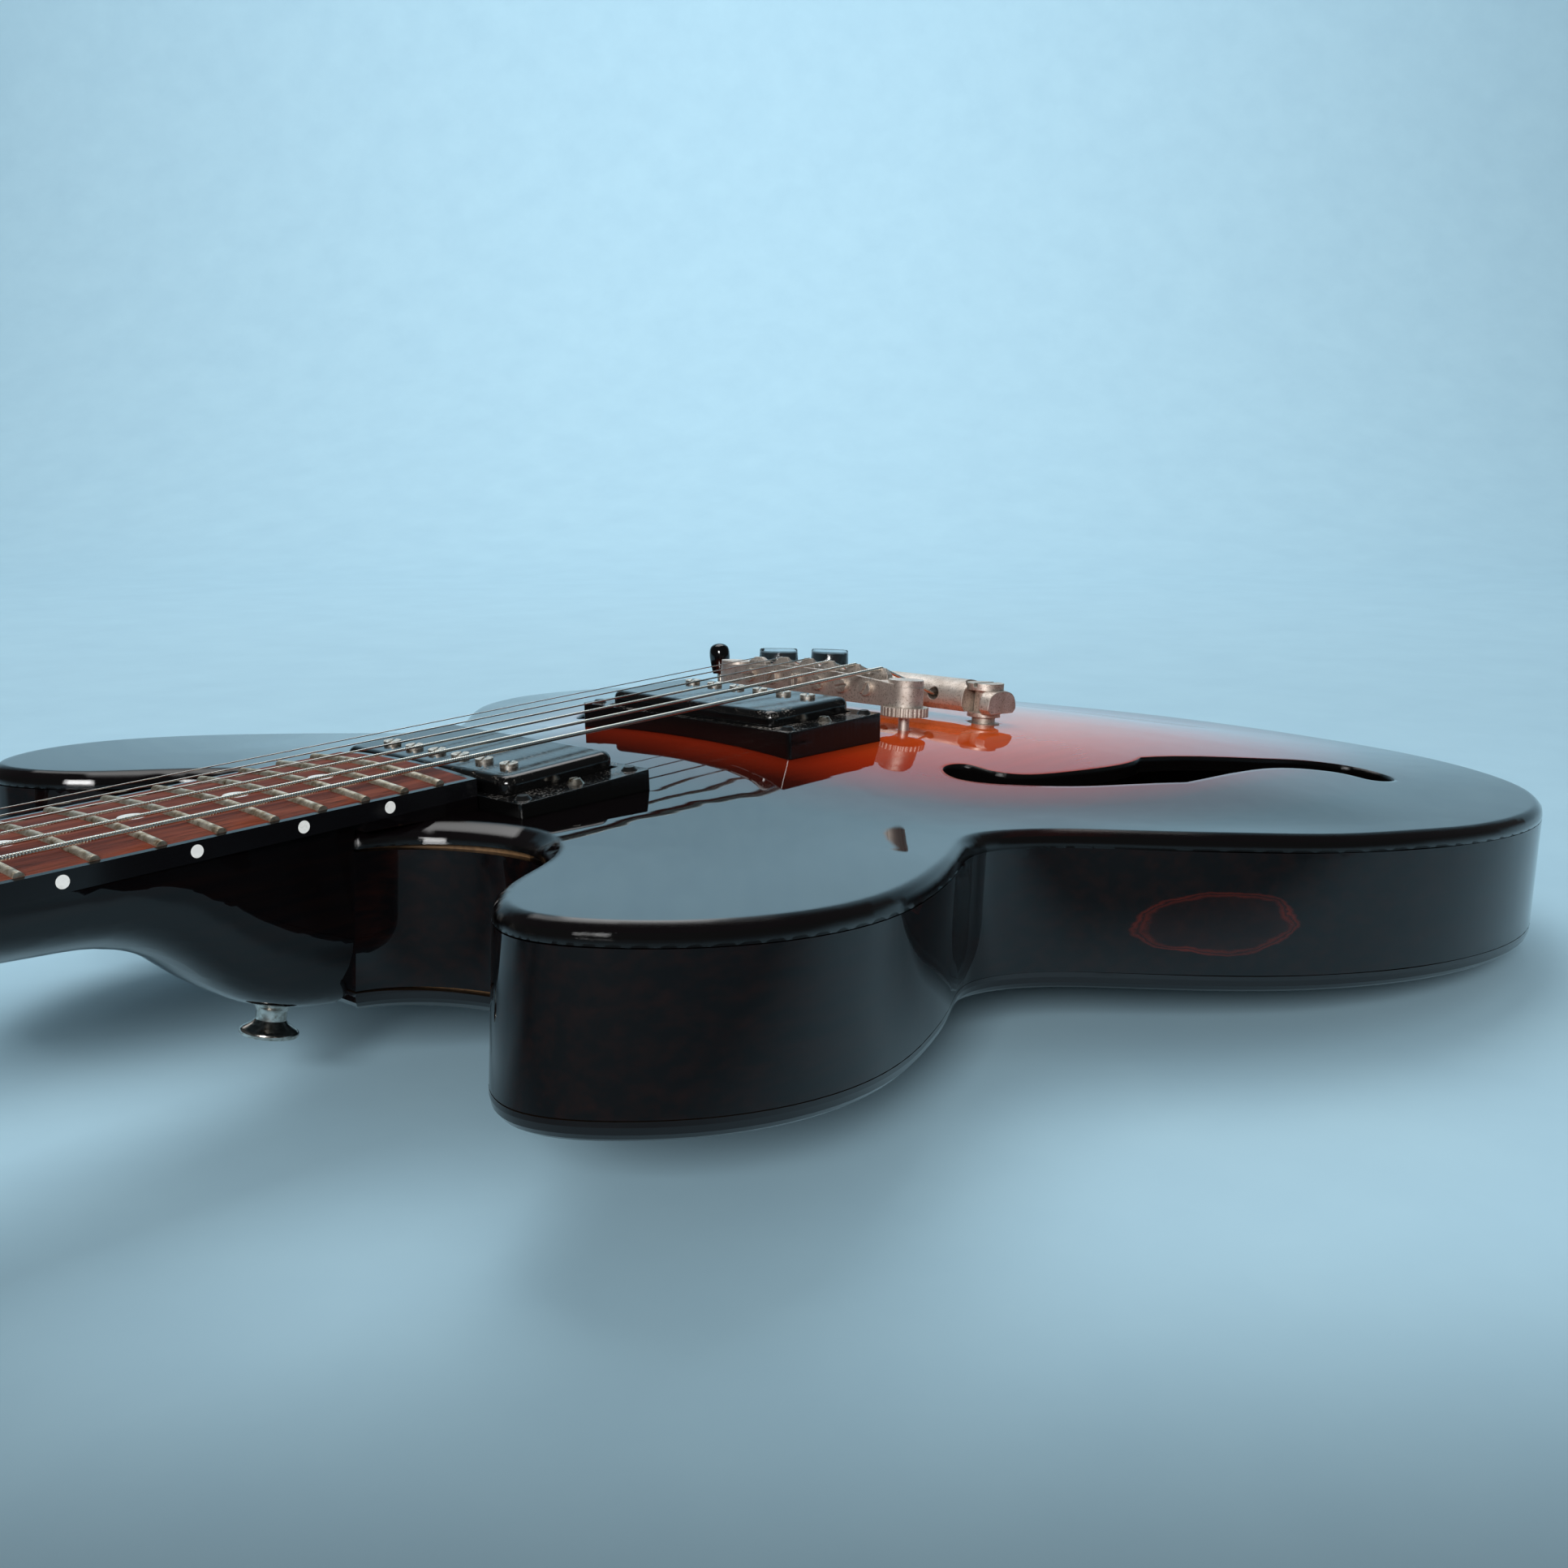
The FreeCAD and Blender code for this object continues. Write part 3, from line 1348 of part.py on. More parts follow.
def pickup_cover(name):
    """Deep drawn cap with soft edges, open below."""
    wall, height = size.cover_wall, size.cover_height
    body = padded(name, rectangle(size.cover_width, size.cover_length), height)
    pocketed(body, rectangle(size.cover_width - wall * 2, size.cover_length - wall * 2), height - wall)
    half, thin = num.cover_width / 2, num.cover_wall / 2
    rounded(body, size.cover_corner_radius, lambda edge: vertical(edge) and abs(
        edge.BoundBox.Center.x) > half - thin)
    rounded(body, size.cover_corner_radius - wall, lambda edge: vertical(edge) and abs(
        abs(edge.BoundBox.Center.x) - half + num.cover_wall) < thin)
    rounded(body, size.cover_edge_radius, lambda edge: edge.BoundBox.ZMin > num.cover_height - thin)
    rounded(body, size.cover_edge_radius - wall, lambda edge: not vertical(edge) and abs(
        edge.BoundBox.Center.z - num.cover_height + num.cover_wall) < thin)
    return body


def pole_row_side(name):
    return -1 if name.startswith("neck") else 1


def pole_places(name):
    x = pole_row_side(name) * num.pole_offset
    return [(x, share * 5 * num.pole_spacing) for share in STRING_SHARES]


def pickup_group(name, frame):
    """Cover, and under it two coils, a bar magnet, a base plate with legs and six pole screws."""
    cover_frame = frame.multiply(at(0, 0, num.cover_proud - num.cover_height))
    cover = pickup_cover(name + "_cover_blank")
    places = pole_places(name)
    holes = [rod((x, y, 0), (x, y, num.cover_height * 2), num.pole_head_diameter / 2 + num.running_clearance)
             for x, y in places]
    shell = cover.Shape.cut(holes)
    doc.removeObject(cover.Name)
    shaped(name + "_pickup_cover", shell, cover_frame)
    base_top = -num.running_clearance
    coil_top = num.cover_height - num.cover_wall - num.cover_edge_radius / 2
    coil_low = coil_top - num.coil_height
    half_x, half_y = num.coil_width / 2, num.coil_length / 2
    coils = [
        box_between((x - half_x, -half_y, coil_low), (x + half_x, half_y, coil_top))
        for x in (-num.pole_offset, num.pole_offset)
    ]
    magnet = box_between((-num.magnet_width / 2, -half_y, base_top), (num.magnet_width / 2, half_y, coil_low))
    base_low = base_top - num.base_plate
    leg_half, leg_reach = half_x / 2, num.height_screw_spacing / 2 + num.height_screw_shank
    base = box_between((-half_x * 2, -half_y, base_low), (half_x * 2, half_y, base_top))
    legs = box_between((-leg_half, -leg_reach, base_low), (leg_half, leg_reach, base_top))
    bores = [
        rod((x, y, -num.cover_height), (x, y, num.cover_height), num.height_screw_shank / 2 + num.free_clearance)
        for x, y in height_screw_places()
    ]
    poles = [pole_screw(x, y, base_top) for x, y in places]
    coils = [coil.cut(poles) for coil in coils]
    pieces = coils + [magnet, base.fuse(legs).cut(bores)] + poles
    shaped(name + "_pickup_coils", Part.makeCompound(pieces), cover_frame)


def pole_screw(x, y, low):
    """Slotted screw through the coil, its head proud of the cover."""
    head_radius, high = num.pole_head_diameter / 2, num.cover_height + num.pole_head_height
    head = rod((x, y, num.cover_height - num.cover_wall), (x, y, high), head_radius)
    half_slot = num.screw_slot_width / 2
    slot = box_between((x - 2 * head_radius, y - half_slot, num.cover_height + num.pole_head_height / 2),
                       (x + 2 * head_radius, y + half_slot, high + head_radius))
    slot.rotate(Vector(x, y, 0), UP, num.pole_slot_angle)
    shank = rod((x, y, low), (x, y, num.cover_height), num.pole_shank_diameter / 2)
    return head.fuse(shank).cut(slot)


def pickups_group():
    neck_screws, bridge_screws = ring_screw_solids(neck_ring_frame), ring_screw_solids(bridge_ring_frame)
    pickup_ring("neck_pickup_ring", neck_ring_frame, neck_screws)
    pickup_ring("bridge_pickup_ring", bridge_ring_frame, bridge_screws)
    shaped("ring_screws", Part.makeCompound(neck_screws + bridge_screws))
    pickup_group("neck", neck_ring_frame)
    pickup_group("bridge", bridge_ring_frame)


wheel_low = num.wheel_height
bridge_low = wheel_low + num.wheel_thickness


def bridge_outline_face(width, length, z):
    """Plan of the bridge: a bar with round ends, a little narrower at the waist."""
    half_x, half_y = width / 2, length / 2 - width / 2
    points = [Vector(-half_x, -half_y, z), Vector(half_x, -half_y, z), Vector(half_x, half_y, z),
              Vector(-half_x, half_y, z)]
    edges = [
        Part.Arc(points[0], Vector(0, -length / 2, z), points[1]), Part.LineSegment(points[1], points[2]),
        Part.Arc(points[2], Vector(0, length / 2, z), points[3]), Part.LineSegment(points[3], points[0]),
    ]
    return Part.Face(Part.Wire([edge.toShape() for edge in edges]))


def crown_cylinder(top, radius, x):
    """Large cylinder along the strings whose crest lies at a height."""
    reach = num.bridge_body_width
    return Part.makeCylinder(radius, 2 * reach, Vector(x - reach, 0, top - radius), ALONG)


lug_height_share = 0.92


def bridge_group():
    centre = num.post_position
    height = num.bridge_body_height
    width = num.bridge_body_width
    blank = bridge_outline_face(width, num.bridge_length, bridge_low).extrude(Vector(0, 0, height))
    blank.translate(Vector(centre, 0, 0))
    crown = crown_cylinder(bridge_low + height, num.board_radius, centre)
    lug_top = bridge_low + height * lug_height_share
    lugs = [rod((x, y, bridge_low), (x, y, lug_top), width / 2) for x, y in post_places()]
    blank = blank.common(crown).fuse(lugs)
    inner_x = width / 2 - num.bridge_wall
    inner_y = (num.string_spread + num.saddle_width) / 2 + num.free_clearance
    floor = bridge_low + num.bridge_floor
    tray = box_between((centre - inner_x, -inner_y, floor), (centre + inner_x, inner_y, floor + height))
    post_bores = [
        rod((x, y, bridge_low - num.cut_margin), (x, y, post_top + num.bridge_travel_down + num.free_clearance),
            num.post_diameter / 2 + num.running_clearance) for x, y in post_places()
    ]
    screws = [adjust_screw(i) for i in range(6)]
    shaped("bridge_base", blank.cut([tray] + post_bores + screws))
    shaped("intonation_screws", Part.makeCompound(screws))
    for index in range(6):
        shaped(f"saddle_{index + 1}", saddle_solid(index))


adjust_height_share = 0.32


def adjust_z():
    return bridge_low + num.bridge_floor + num.saddle_height * adjust_height_share


def adjust_screw(index):
    """Slotted screw along the strings, its head on the neck side."""
    y = string_y(index, num.string_spread)
    front = num.post_position - num.bridge_body_width / 2
    back = num.post_position + num.bridge_body_width / 2
    z = adjust_z()
    tip = front - num.adjust_screw_head_height
    shank = rod((front, y, z), (back, y, z), num.adjust_screw_diameter / 2)
    head = rod((tip, y, z), (front, y, z), num.adjust_screw_head / 2)
    half_slot, reach = num.screw_slot_width / 2, num.adjust_screw_head
    slot = box_between((tip, y - half_slot, z - reach), ((tip + front) / 2, y + half_slot, z + reach))
    slot.rotate(Vector(front, y, z), ALONG, num.adjust_slot_angle + num.adjust_slot_turn * index)
    return shank.fuse(head).cut(slot)


# Saddle crest: string depth in its gauge, ridge in the thickness, crest in the width
saddle_seat_share = 0.6
saddle_ridge_share = 0.35
saddle_crest_share = 0.45


def saddle_solid(index):
    """Wedge with a ridge and a string notch, bored for its screw."""
    y = string_y(index, num.string_spread)
    x = saddle_x(index)
    low = bridge_low + num.bridge_floor + num.running_clearance
    top = string_bottom_z(index) + gauge(index) * saddle_seat_share
    half, thick = num.saddle_width / 2, num.saddle_thickness / 2
    ridge, crest_half = thick * saddle_ridge_share, half * saddle_crest_share
    shoulder = bridge_low + num.bridge_body_height
    profile = [
        Vector(x - thick, y - half, low), Vector(x + thick, y - half, low),
        Vector(x + thick, y - half, shoulder), Vector(x + ridge, y - half, top),
        Vector(x - ridge, y - half, top), Vector(x - thick, y - half, shoulder),
    ]
    wedge = Part.Face(Part.makePolygon(profile + profile[:1])).extrude(Vector(0, 2 * half, 0))
    lean = [
        Vector(x, y - half, low), Vector(x, y + half, low), Vector(x, y + half, shoulder),
        Vector(x, y + crest_half, top), Vector(x, y - crest_half, top), Vector(x, y - half, shoulder),
    ]
    front = Part.Face(Part.makePolygon(lean + lean[:1])).extrude(Vector(2 * thick, 0, 0))
    front.translate(Vector(-thick, 0, 0))
    bore = rod((x - num.bridge_body_width, y, adjust_z()), (x + num.bridge_body_width, y, adjust_z()),
               num.adjust_screw_diameter / 2 + num.running_clearance)
    notch_radius = gauge(index) / 2 + num.running_clearance
    before, crest, after = string_points(index)[1:4]
    notches = [rod(crest, before, notch_radius), rod(crest, after, notch_radius)]
    reach = num.saddle_thickness
    mouth = box_between((x - reach, y - notch_radius, crest.z), (x + reach, y + notch_radius, crest.z + half))
    return wedge.common(front).cut([bore, mouth] + notches)


def wheel_group():
    """Knurled wheels on the posts, under the bridge."""
    for label, (x, y) in zip(("bass", "treble"), post_places()):
        radius = num.wheel_diameter / 2
        disc = Part.makeCylinder(radius, num.wheel_thickness)
        groove = Part.makeCylinder(num.knurl_radius, num.wheel_thickness, Vector(radius + num.knurl_offset, 0, 0))
        grooves = []
        for step in range(int(num.wheel_knurls)):
            cutter = groove.copy()
            cutter.rotate(Vector(), UP, 360 * step / num.wheel_knurls)
            grooves.append(cutter)
        bore = Part.makeCylinder(num.post_diameter / 2 + num.running_clearance, num.wheel_thickness)
        shaped(f"thumbwheel_{label}", disc.cut(grooves + [bore]), at(x, y, wheel_low))
    shaped("bridge_posts", Part.makeCompound(post_solids()))


# Tailpiece along its length: place, then height; and its section: across, then up
tail_taper_shares = [(-0.5, 0.72), (-0.36, 1.0), (0.36, 1.0), (0.5, 0.72)]
tail_section_shares = [
    (-1.0, 0.18), (-0.72, 0.85), (0.0, 1.0), (0.72, 0.85), (1.0, 0.18), (0.8, 0.0), (-0.8, 0.0),
]


def tail_section(y, tall):
    """Domed section of the tailpiece with a flat, narrower foot."""
    half = num.tail_bar_width / 2
    points = [
        Vector(num.tail_position + across * half, y, num.tail_height + up * tall)
        for across, up in tail_section_shares
    ]
    curve = Part.BSplineCurve()
    curve.interpolate(points[:5])
    foot = points[4:] + points[:1]
    return Part.Wire([curve.toShape()] + [Part.LineSegment(a, b).toShape() for a, b in zip(foot, foot[1:])])


def stud_seats():
    """Open slots in the ends of the tailpiece, with a counterbore for each stud's head."""
    low, high = num.tail_height - num.tail_bar_height, num.tail_height + 2 * num.tail_bar_height
    neck, head = num.stud_neck_diameter / 2 + num.running_clearance, num.stud_head_diameter / 2 + num.free_clearance
    cuts = []
    for x, y in stud_places():
        cuts.append(rod((x, y, num.tail_height + num.tail_lug_height), (x, y, high), head))
        cuts.append(rod((x, y, low), (x, y, high), neck))
        cuts.append(box_between((x - num.tail_bar_width, y - neck, low), (x, y + neck, high)))
    return cuts


def tail_group():
    """Stop bar with open lugs round two slotted studs."""
    bar = Part.makeLoft([
        tail_section(share * num.tail_bar_length, num.tail_bar_height * scale) for share, scale in tail_taper_shares
    ], True, True)
    x, z, width = num.tail_position, num.tail_height + num.tail_bar_height / 2, num.tail_bar_width
    rows = [string_y(i, num.string_spread) for i in range(6)]
    holes = [rod((x - width, y, z), (x + width, y, z), num.string_hole_diameter / 2) for y in rows]
    shaped("tailpiece", bar.cut(stud_seats() + holes))
    studs = [stud_solid().translated(Vector(x, y, 0)) for x, y in stud_places()]
    shaped("tailpiece_studs", Part.makeCompound(studs))
    shaped("stud_bushings", Part.makeCompound(bushing_solids()))


def stud_solid():
    """Head over a waist, a collar under the lug, and the thread in its bushing."""
    low, lug = num.tail_height, num.tail_height + num.tail_lug_height
    collar_low = low - num.stud_collar_height
    head = rod((0, 0, lug), (0, 0, lug + num.stud_head_height), num.stud_head_diameter / 2)
    waist = rod((0, 0, low), (0, 0, lug), num.stud_neck_diameter / 2)
    collar = rod((0, 0, collar_low), (0, 0, low), num.stud_collar_diameter / 2)
    thread = rod((0, 0, collar_low - num.stud_thread_length), (0, 0, collar_low), num.stud_thread_diameter / 2)
    slot = box_between(
        (-num.stud_head_diameter, -num.stud_slot_width / 2, lug + num.stud_head_height / 2),
        (num.stud_head_diameter, num.stud_slot_width / 2, lug + num.stud_head_height * 2))
    return head.fuse([waist, collar, thread]).cut(slot)


# Heights of the waist's ends and the rim's lower edge on a strap button
button_shares = (0.3, 0.6, 0.85)


def strap_button():
    """Turned button with a flared rim, on its side's own frame."""
    base, waist, rim = size.button_base_diameter / 2, size.button_waist_diameter / 2, size.button_rim_diameter / 2
    bore, height = size.button_screw_diameter / 2, size.button_height
    low, high, edge = [height * share for share in button_shares]
    return turned("strap_button_turned", [
        (bore, 0.0), (base, 0.0), (waist, low), (waist, high), (rim, edge), (rim, height), (bore, height),
    ])


def hardware_group():
    button = strap_button()
    frames = button_frames()
    solids = [moved(button.Shape, frame) for frame in frames]
    doc.removeObject(button.Name)
    shaped("strap_buttons", Part.makeCompound(solids))
    shaped("button_screws", Part.makeCompound(button_screws()))


# Heights in a knob: top of its bore, foot of its boss, top of the pot's shaft
bore_top_share = 0.8
boss_foot_share = 0.25
shaft_top_share = 0.78


def knob(name, frame):
    """Speed knob: a tapered cup on a boss, over the pot's shaft."""
    outer, top, wall = size.knob_diameter / 2, size.knob_top_diameter / 2, size.knob_wall
    boss, bore = size.knob_boss_diameter / 2, size.pot_shaft_diameter / 2 + size.running_clearance
    height = size.knob_height
    bore_top, foot = height * bore_top_share, height * boss_foot_share
    body = turned(name, [
        (0.0, bore_top), (bore, bore_top), (bore, foot), (boss, foot), (boss, height - wall),
        (top - wall, height - wall), (outer - wall, 0.0), (outer, 0.0), (top, height), (0.0, height),
    ])
    finish(body, name, frame.multiply(at(0, 0, num.knob_gap)))


def control_solids(frame):
    """Potentiometer with its bushing, nut and shaft."""
    seat = num.plate_thickness + num.free_clearance
    can = rod((0, 0, -seat - num.pot_can_height), (0, 0, -seat), num.pot_can_diameter / 2)
    bushing = rod((0, 0, -seat), (0, 0, num.pot_nut_height), num.pot_bushing_diameter / 2)
    nut = rod((0, 0, num.seat_gap), (0, 0, num.pot_nut_height), num.pot_nut_diameter / 2)
    shaft_top = num.knob_gap + num.knob_height * shaft_top_share
    shaft = rod((0, 0, num.pot_nut_height), (0, 0, shaft_top), num.pot_shaft_diameter / 2)
    body = can.fuse([bushing, shaft])
    return [moved(body, frame), moved(nut.cut(bushing), frame)]


def controls_group():
    knob("volume_knob", volume_frame)
    knob("tone_knob", tone_frame)
    shaped("potentiometers", Part.makeCompound(control_solids(volume_frame) + control_solids(tone_frame)))
    toggle_group()
    jack_group()


def toggle_group():
    """Three-way lever switch: frame under the top, nut and bushing above, lever with a tip."""
    seat = num.plate_thickness + num.free_clearance
    frame_half, frame_side = num.toggle_frame_length / 2, num.toggle_frame_width / 2
    low = -seat - num.toggle_frame_depth
    frame_box = box_between((-frame_half, -frame_side, low), (frame_half, frame_side, -seat))
    bushing = rod((0, 0, -seat), (0, 0, num.toggle_nut_height), num.toggle_bushing_diameter / 2)
    mouth_radius = num.lever_pin_length / 2 + num.free_clearance
    tall = num.toggle_nut_height + seat
    flare = tall * math.tan(math.radians(num.toggle_throw)) + num.free_clearance
    mouth = Part.makeCone(mouth_radius, mouth_radius + flare, tall, Vector(0, 0, -seat))
    well_radius = mouth_radius + num.lever_pin_diameter / 2
    well = rod((0, 0, -seat - 2 * num.toggle_lever_diameter), (0, 0, -seat), well_radius)
    nut = rod((0, 0, num.seat_gap), (0, 0, num.toggle_nut_height), num.toggle_nut_diameter / 2).cut(bushing)
    switch = frame_box.fuse(bushing).cut([mouth, well])
    shaped("toggle_switch", Part.makeCompound([switch, nut]), toggle_frame)
    shaped("toggle_lever", lever_solid(), toggle_frame)


def lever_solid():
    """Turned lever and tip on a cross pin at the plate's underside."""
    tip, lever_radius = size.toggle_tip_diameter / 2, size.toggle_lever_diameter / 2
    foot = -size.plate_thickness - size.toggle_lever_diameter
    top, length = size.toggle_height, size.toggle_tip_length
    points = [(0.0, foot), (lever_radius, foot), (lever_radius, top - length)]
    points += [(tip * across, top - length * down) for across, down in tip_shares]
    lever = turned("toggle_lever_turned", points + [(0.0, top)])
    half, z = num.lever_pin_length / 2, -num.plate_thickness
    solid = lever.Shape.fuse(rod((0, -half, z), (0, half, z), num.lever_pin_diameter / 2))
    doc.removeObject(lever.Name)
    return solid


# Tip profile: share of its radius, share of its length below the top
tip_shares = [(0.72, 1.0), (0.86, 0.8), (1.0, 0.42), (0.98, 0.26), (0.82, 0.11), (0.5, 0.03)]


def jack_group():
    """Barrel jack with a round plate and a nut on the top."""
    seat = num.plate_thickness + num.free_clearance
    low, plate_top = -seat - num.jack_depth, num.seat_gap + num.jack_plate_thickness
    nut_top = plate_top + num.jack_nut_height
    plate = rod((0, 0, num.seat_gap), (0, 0, plate_top), num.jack_plate_diameter / 2)
    barrel = rod((0, 0, low), (0, 0, nut_top), num.jack_bushing_diameter / 2)
    shoulder = rod((0, 0, low), (0, 0, -seat), num.jack_nut_diameter / 2)
    nut = rod((0, 0, plate_top), (0, 0, nut_top), num.jack_nut_diameter / 2)
    hollow = rod((0, 0, low + num.jack_floor), (0, 0, nut_top), num.jack_bore_diameter / 2)
    body = barrel.fuse(shoulder).cut(hollow)
    shaped("output_jack", Part.makeCompound([body, plate.cut(barrel), nut.cut(barrel)]), jack_frame)


body_group()
fretboard_group()
neck_group()
nut_group()
strings_group()
tuner_group()
pickups_group()
bridge_group()
wheel_group()
tail_group()
hardware_group()
controls_group()
def lying_frame(labels):
    """Back arch and headstock tip on the floor, origin under the middle of the whole length."""
    tip = head_frame.multVec(Vector(-num.headstock_length, 0, -num.headstock_thickness))
    steps = range(int(tip.x), int(num.tail_from_bridge))
    slope = min((back_z(x, 0) - tip.z) / (x - tip.x) for x in steps if x > joint_x)
    turn = Placement(Vector(), Rotation(ACROSS, math.degrees(math.atan(slope))))
    points = []
    for feature in subparts:
        if feature.Label in labels:
            points += [turn.multVec(point) for point in feature.Shape.tessellate(num.running_clearance)[0]]
    low, high = min(point.x for point in points), max(point.x for point in points)
    floor = min(point.z for point in points)
    return at(-(low + high) / 2, 0, -floor).multiply(turn)


rest_frame = lying_frame(("neck", "back_plate", "strap_buttons"))
for feature in subparts:
    feature.Placement = rest_frame.multiply(feature.Placement)

doc.recompute()
for obj in doc.Objects:
    if "Invalid" in obj.State or "Error" in obj.State:
        raise RuntimeError(f"{obj.Label} did not build: {obj.State}")
for feature in subparts:
    if feature.Shape.isNull() or not feature.Shape.isValid() or not feature.Shape.Solids:
        raise RuntimeError(f"{feature.Label} has no valid solid")
for feature in subparts:
    feature.Shape.exportStep(f"parts/{feature.Label}.step")

turn_gap = min(winding_clearance(index) for index in range(6))
tilt = math.degrees(rest_frame.Rotation.Angle)
print("least gap between string turns in mm", round(turn_gap, 3))
print("resting place and tilt", round(rest_frame.Base.x, 6), round(rest_frame.Base.z, 6), round(tilt, 8))
print(len(subparts), "sub-parts written")
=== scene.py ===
import math
import bmesh
import bpy
from mathutils import Matrix, Vector


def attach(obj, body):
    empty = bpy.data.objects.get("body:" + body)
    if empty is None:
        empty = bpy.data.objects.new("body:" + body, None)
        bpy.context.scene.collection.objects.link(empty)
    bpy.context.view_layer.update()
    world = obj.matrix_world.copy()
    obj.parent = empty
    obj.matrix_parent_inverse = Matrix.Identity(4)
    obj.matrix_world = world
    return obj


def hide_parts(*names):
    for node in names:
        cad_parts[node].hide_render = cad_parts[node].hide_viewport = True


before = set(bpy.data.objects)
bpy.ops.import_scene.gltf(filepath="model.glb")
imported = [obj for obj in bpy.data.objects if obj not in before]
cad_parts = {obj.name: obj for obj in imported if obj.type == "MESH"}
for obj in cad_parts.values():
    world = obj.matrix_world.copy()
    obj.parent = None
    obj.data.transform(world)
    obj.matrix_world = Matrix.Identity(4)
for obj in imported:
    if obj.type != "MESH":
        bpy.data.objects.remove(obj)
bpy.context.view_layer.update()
bpy.ops.object.select_all(action="DESELECT")


# Lacquered body: top and back plates of pressed maple ply glued to bent maple sides.
# The finish is a sprayed sunburst under thick clear gloss lacquer, polished flat, so
# the top mirrors what stands on it and the sides are nearly black with a hint of grain.
mm = 0.001
lean = math.radians(4.08447235)
lie = Matrix.Translation((0.261391427, 0, 0.062766152)) @ Matrix.Rotation(lean, 4, "Y")


def linear(colour):
    """Blender's linear colour of an sRGB hex value."""
    shares = [int(colour[i:i + 2], 16) / 255 for i in (1, 3, 5)]
    return [s / 12.92 if s <= 0.04045 else ((s + 0.055) / 1.055) ** 2.4 for s in shares] + [1.0]


def add_node(tree, kind, values=None, links=None, stops=None, **settings):
    """Adds one shader node with its settings, socket values, ramp stops and links."""
    node = tree.nodes.new("ShaderNode" + kind)
    for name, value in settings.items():
        setattr(node, name, value)
    for name, value in (values or {}).items():
        node.inputs[name].default_value = value
    if stops:
        while len(node.color_ramp.elements) < len(stops):
            node.color_ramp.elements.new(0.5)
        for element, (place, colour) in zip(node.color_ramp.elements, stops):
            element.position = place
            element.color = linear(colour) if isinstance(colour, str) else (colour, colour, colour, 1)
    for name, source in (links or {}).items():
        tree.links.new(source, node.inputs[name])
    return node


def new_finish(name):
    """Empty material with one principled shader; returns material, node tree and shader."""
    finish = bpy.data.materials.new(name)
    finish.use_nodes = True
    tree = finish.node_tree
    tree.nodes.clear()
    shader = add_node(tree, "BsdfPrincipled")
    add_node(tree, "OutputMaterial", links={"Surface": shader.outputs["BSDF"]})
    return finish, tree, shader


def paint(finish, *nodes):
    """Gives CAD nodes a finish in all their material slots."""
    for name in nodes:
        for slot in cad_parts[name].material_slots:
            slot.material = finish


def burst_share(tree):
    """Distance from the middle of the sunburst: 0 there, 1 where the black edge begins."""
    middle = lie @ Vector((88 * mm, 0, 0))
    half_length, half_width = 211 * mm, 167 * mm
    roundness = 2.3
    coordinates = add_node(tree, "TexCoord").outputs["Object"]
    placed = add_node(tree, "Mapping", {
        "Location": middle, "Rotation": (0, lean, 0), "Scale": (half_length, half_width, 1),
    }, {"Vector": coordinates}, vector_type="TEXTURE").outputs["Vector"]
    either_side = add_node(tree, "VectorMath", links={0: placed}, operation="ABSOLUTE").outputs[0]
    axes = add_node(tree, "SeparateXYZ", links={"Vector": either_side})
    powers = [add_node(tree, "Math", {1: roundness}, {0: axes.outputs[axis]}, operation="POWER").outputs[0]
              for axis in ("X", "Y")]
    total = add_node(tree, "Math", links={0: powers[0], 1: powers[1]}, operation="ADD").outputs[0]
    return coordinates, add_node(tree, "Math", {1: 1 / roundness}, {0: total}, operation="POWER").outputs[0]


def grain(tree, coordinates, length, width, detail=4.0):
    """Streaks along the instrument, length and width in metres."""
    stretched = add_node(tree, "Mapping", {"Scale": (1 / length, 1 / width, 1 / width)},
                         {"Vector": coordinates})
    return add_node(tree, "TexNoise", {"Scale": 1.0, "Detail": detail, "Roughness": 0.6},
                    {"Vector": stretched.outputs["Vector"]}).outputs["Fac"]


def sunburst_lacquer(name, stops, streak):
    """Aniline stain fading outwards on maple, under clear lacquer buffed to a mirror."""
    finish, tree, shader = new_finish(name)
    coordinates, share = burst_share(tree)
    fibres = grain(tree, coordinates, 60 * mm, 2.2 * mm)
    wander = add_node(tree, "Math", {1: 0.06, 2: -0.03}, {0: fibres}, operation="MULTIPLY_ADD").outputs[0]
    moved = add_node(tree, "Math", links={0: share, 1: wander}, operation="ADD").outputs[0]
    stain = add_node(tree, "ValToRGB", links={"Fac": moved}, stops=stops).outputs["Color"]
    lines = add_node(tree, "ValToRGB", links={"Fac": fibres}, stops=[(0.35, streak), (0.62, 1.0)])
    maple = add_node(tree, "MixRGB", {"Fac": 1.0}, {"Color1": stain, "Color2": lines.outputs["Color"]},
                     blend_type="MULTIPLY")
    facing = add_node(tree, "SeparateXYZ", links={"Vector": add_node(tree, "TexCoord").outputs["Normal"]})
    return finish, tree, shader, coordinates, maple.outputs["Color"], facing


# Faces that look up are stained and lacquered, those that look down are the bare inside,
# coloured near black as painted shade of the closed body, and the upright walls of the
# f-holes are painted black.
burst_stops = [
    (0.0, "#e5782e"), (0.28, "#da6223"), (0.5, "#c24614"), (0.68, "#96270b"), (0.84, "#3a0f08"),
    (0.98, "#080506"),
]
top_finish, tree, shader, coordinates, stained, facing = sunburst_lacquer(
    "sunburst_lacquer", burst_stops, 0.86)
# Painted shade: the inside wood is coloured near black for the dark inside of the body.
inside_in_painted_shade = add_node(tree, "ValToRGB", links={"Fac": grain(tree, coordinates, 40 * mm, 1.5 * mm)},
                 stops=[(0.3, "#0f0b08"), (0.7, "#1b130d")]).outputs["Color"]
upward = add_node(tree, "Math", {1: 0.35}, {0: facing.outputs["Z"]}, operation="GREATER_THAN").outputs[0]
downward = add_node(tree, "Math", {1: -0.6}, {0: facing.outputs["Z"]}, operation="LESS_THAN").outputs[0]
sawn = add_node(tree, "MixRGB", {"Color1": linear("#070606")}, {"Fac": upward, "Color2": stained})
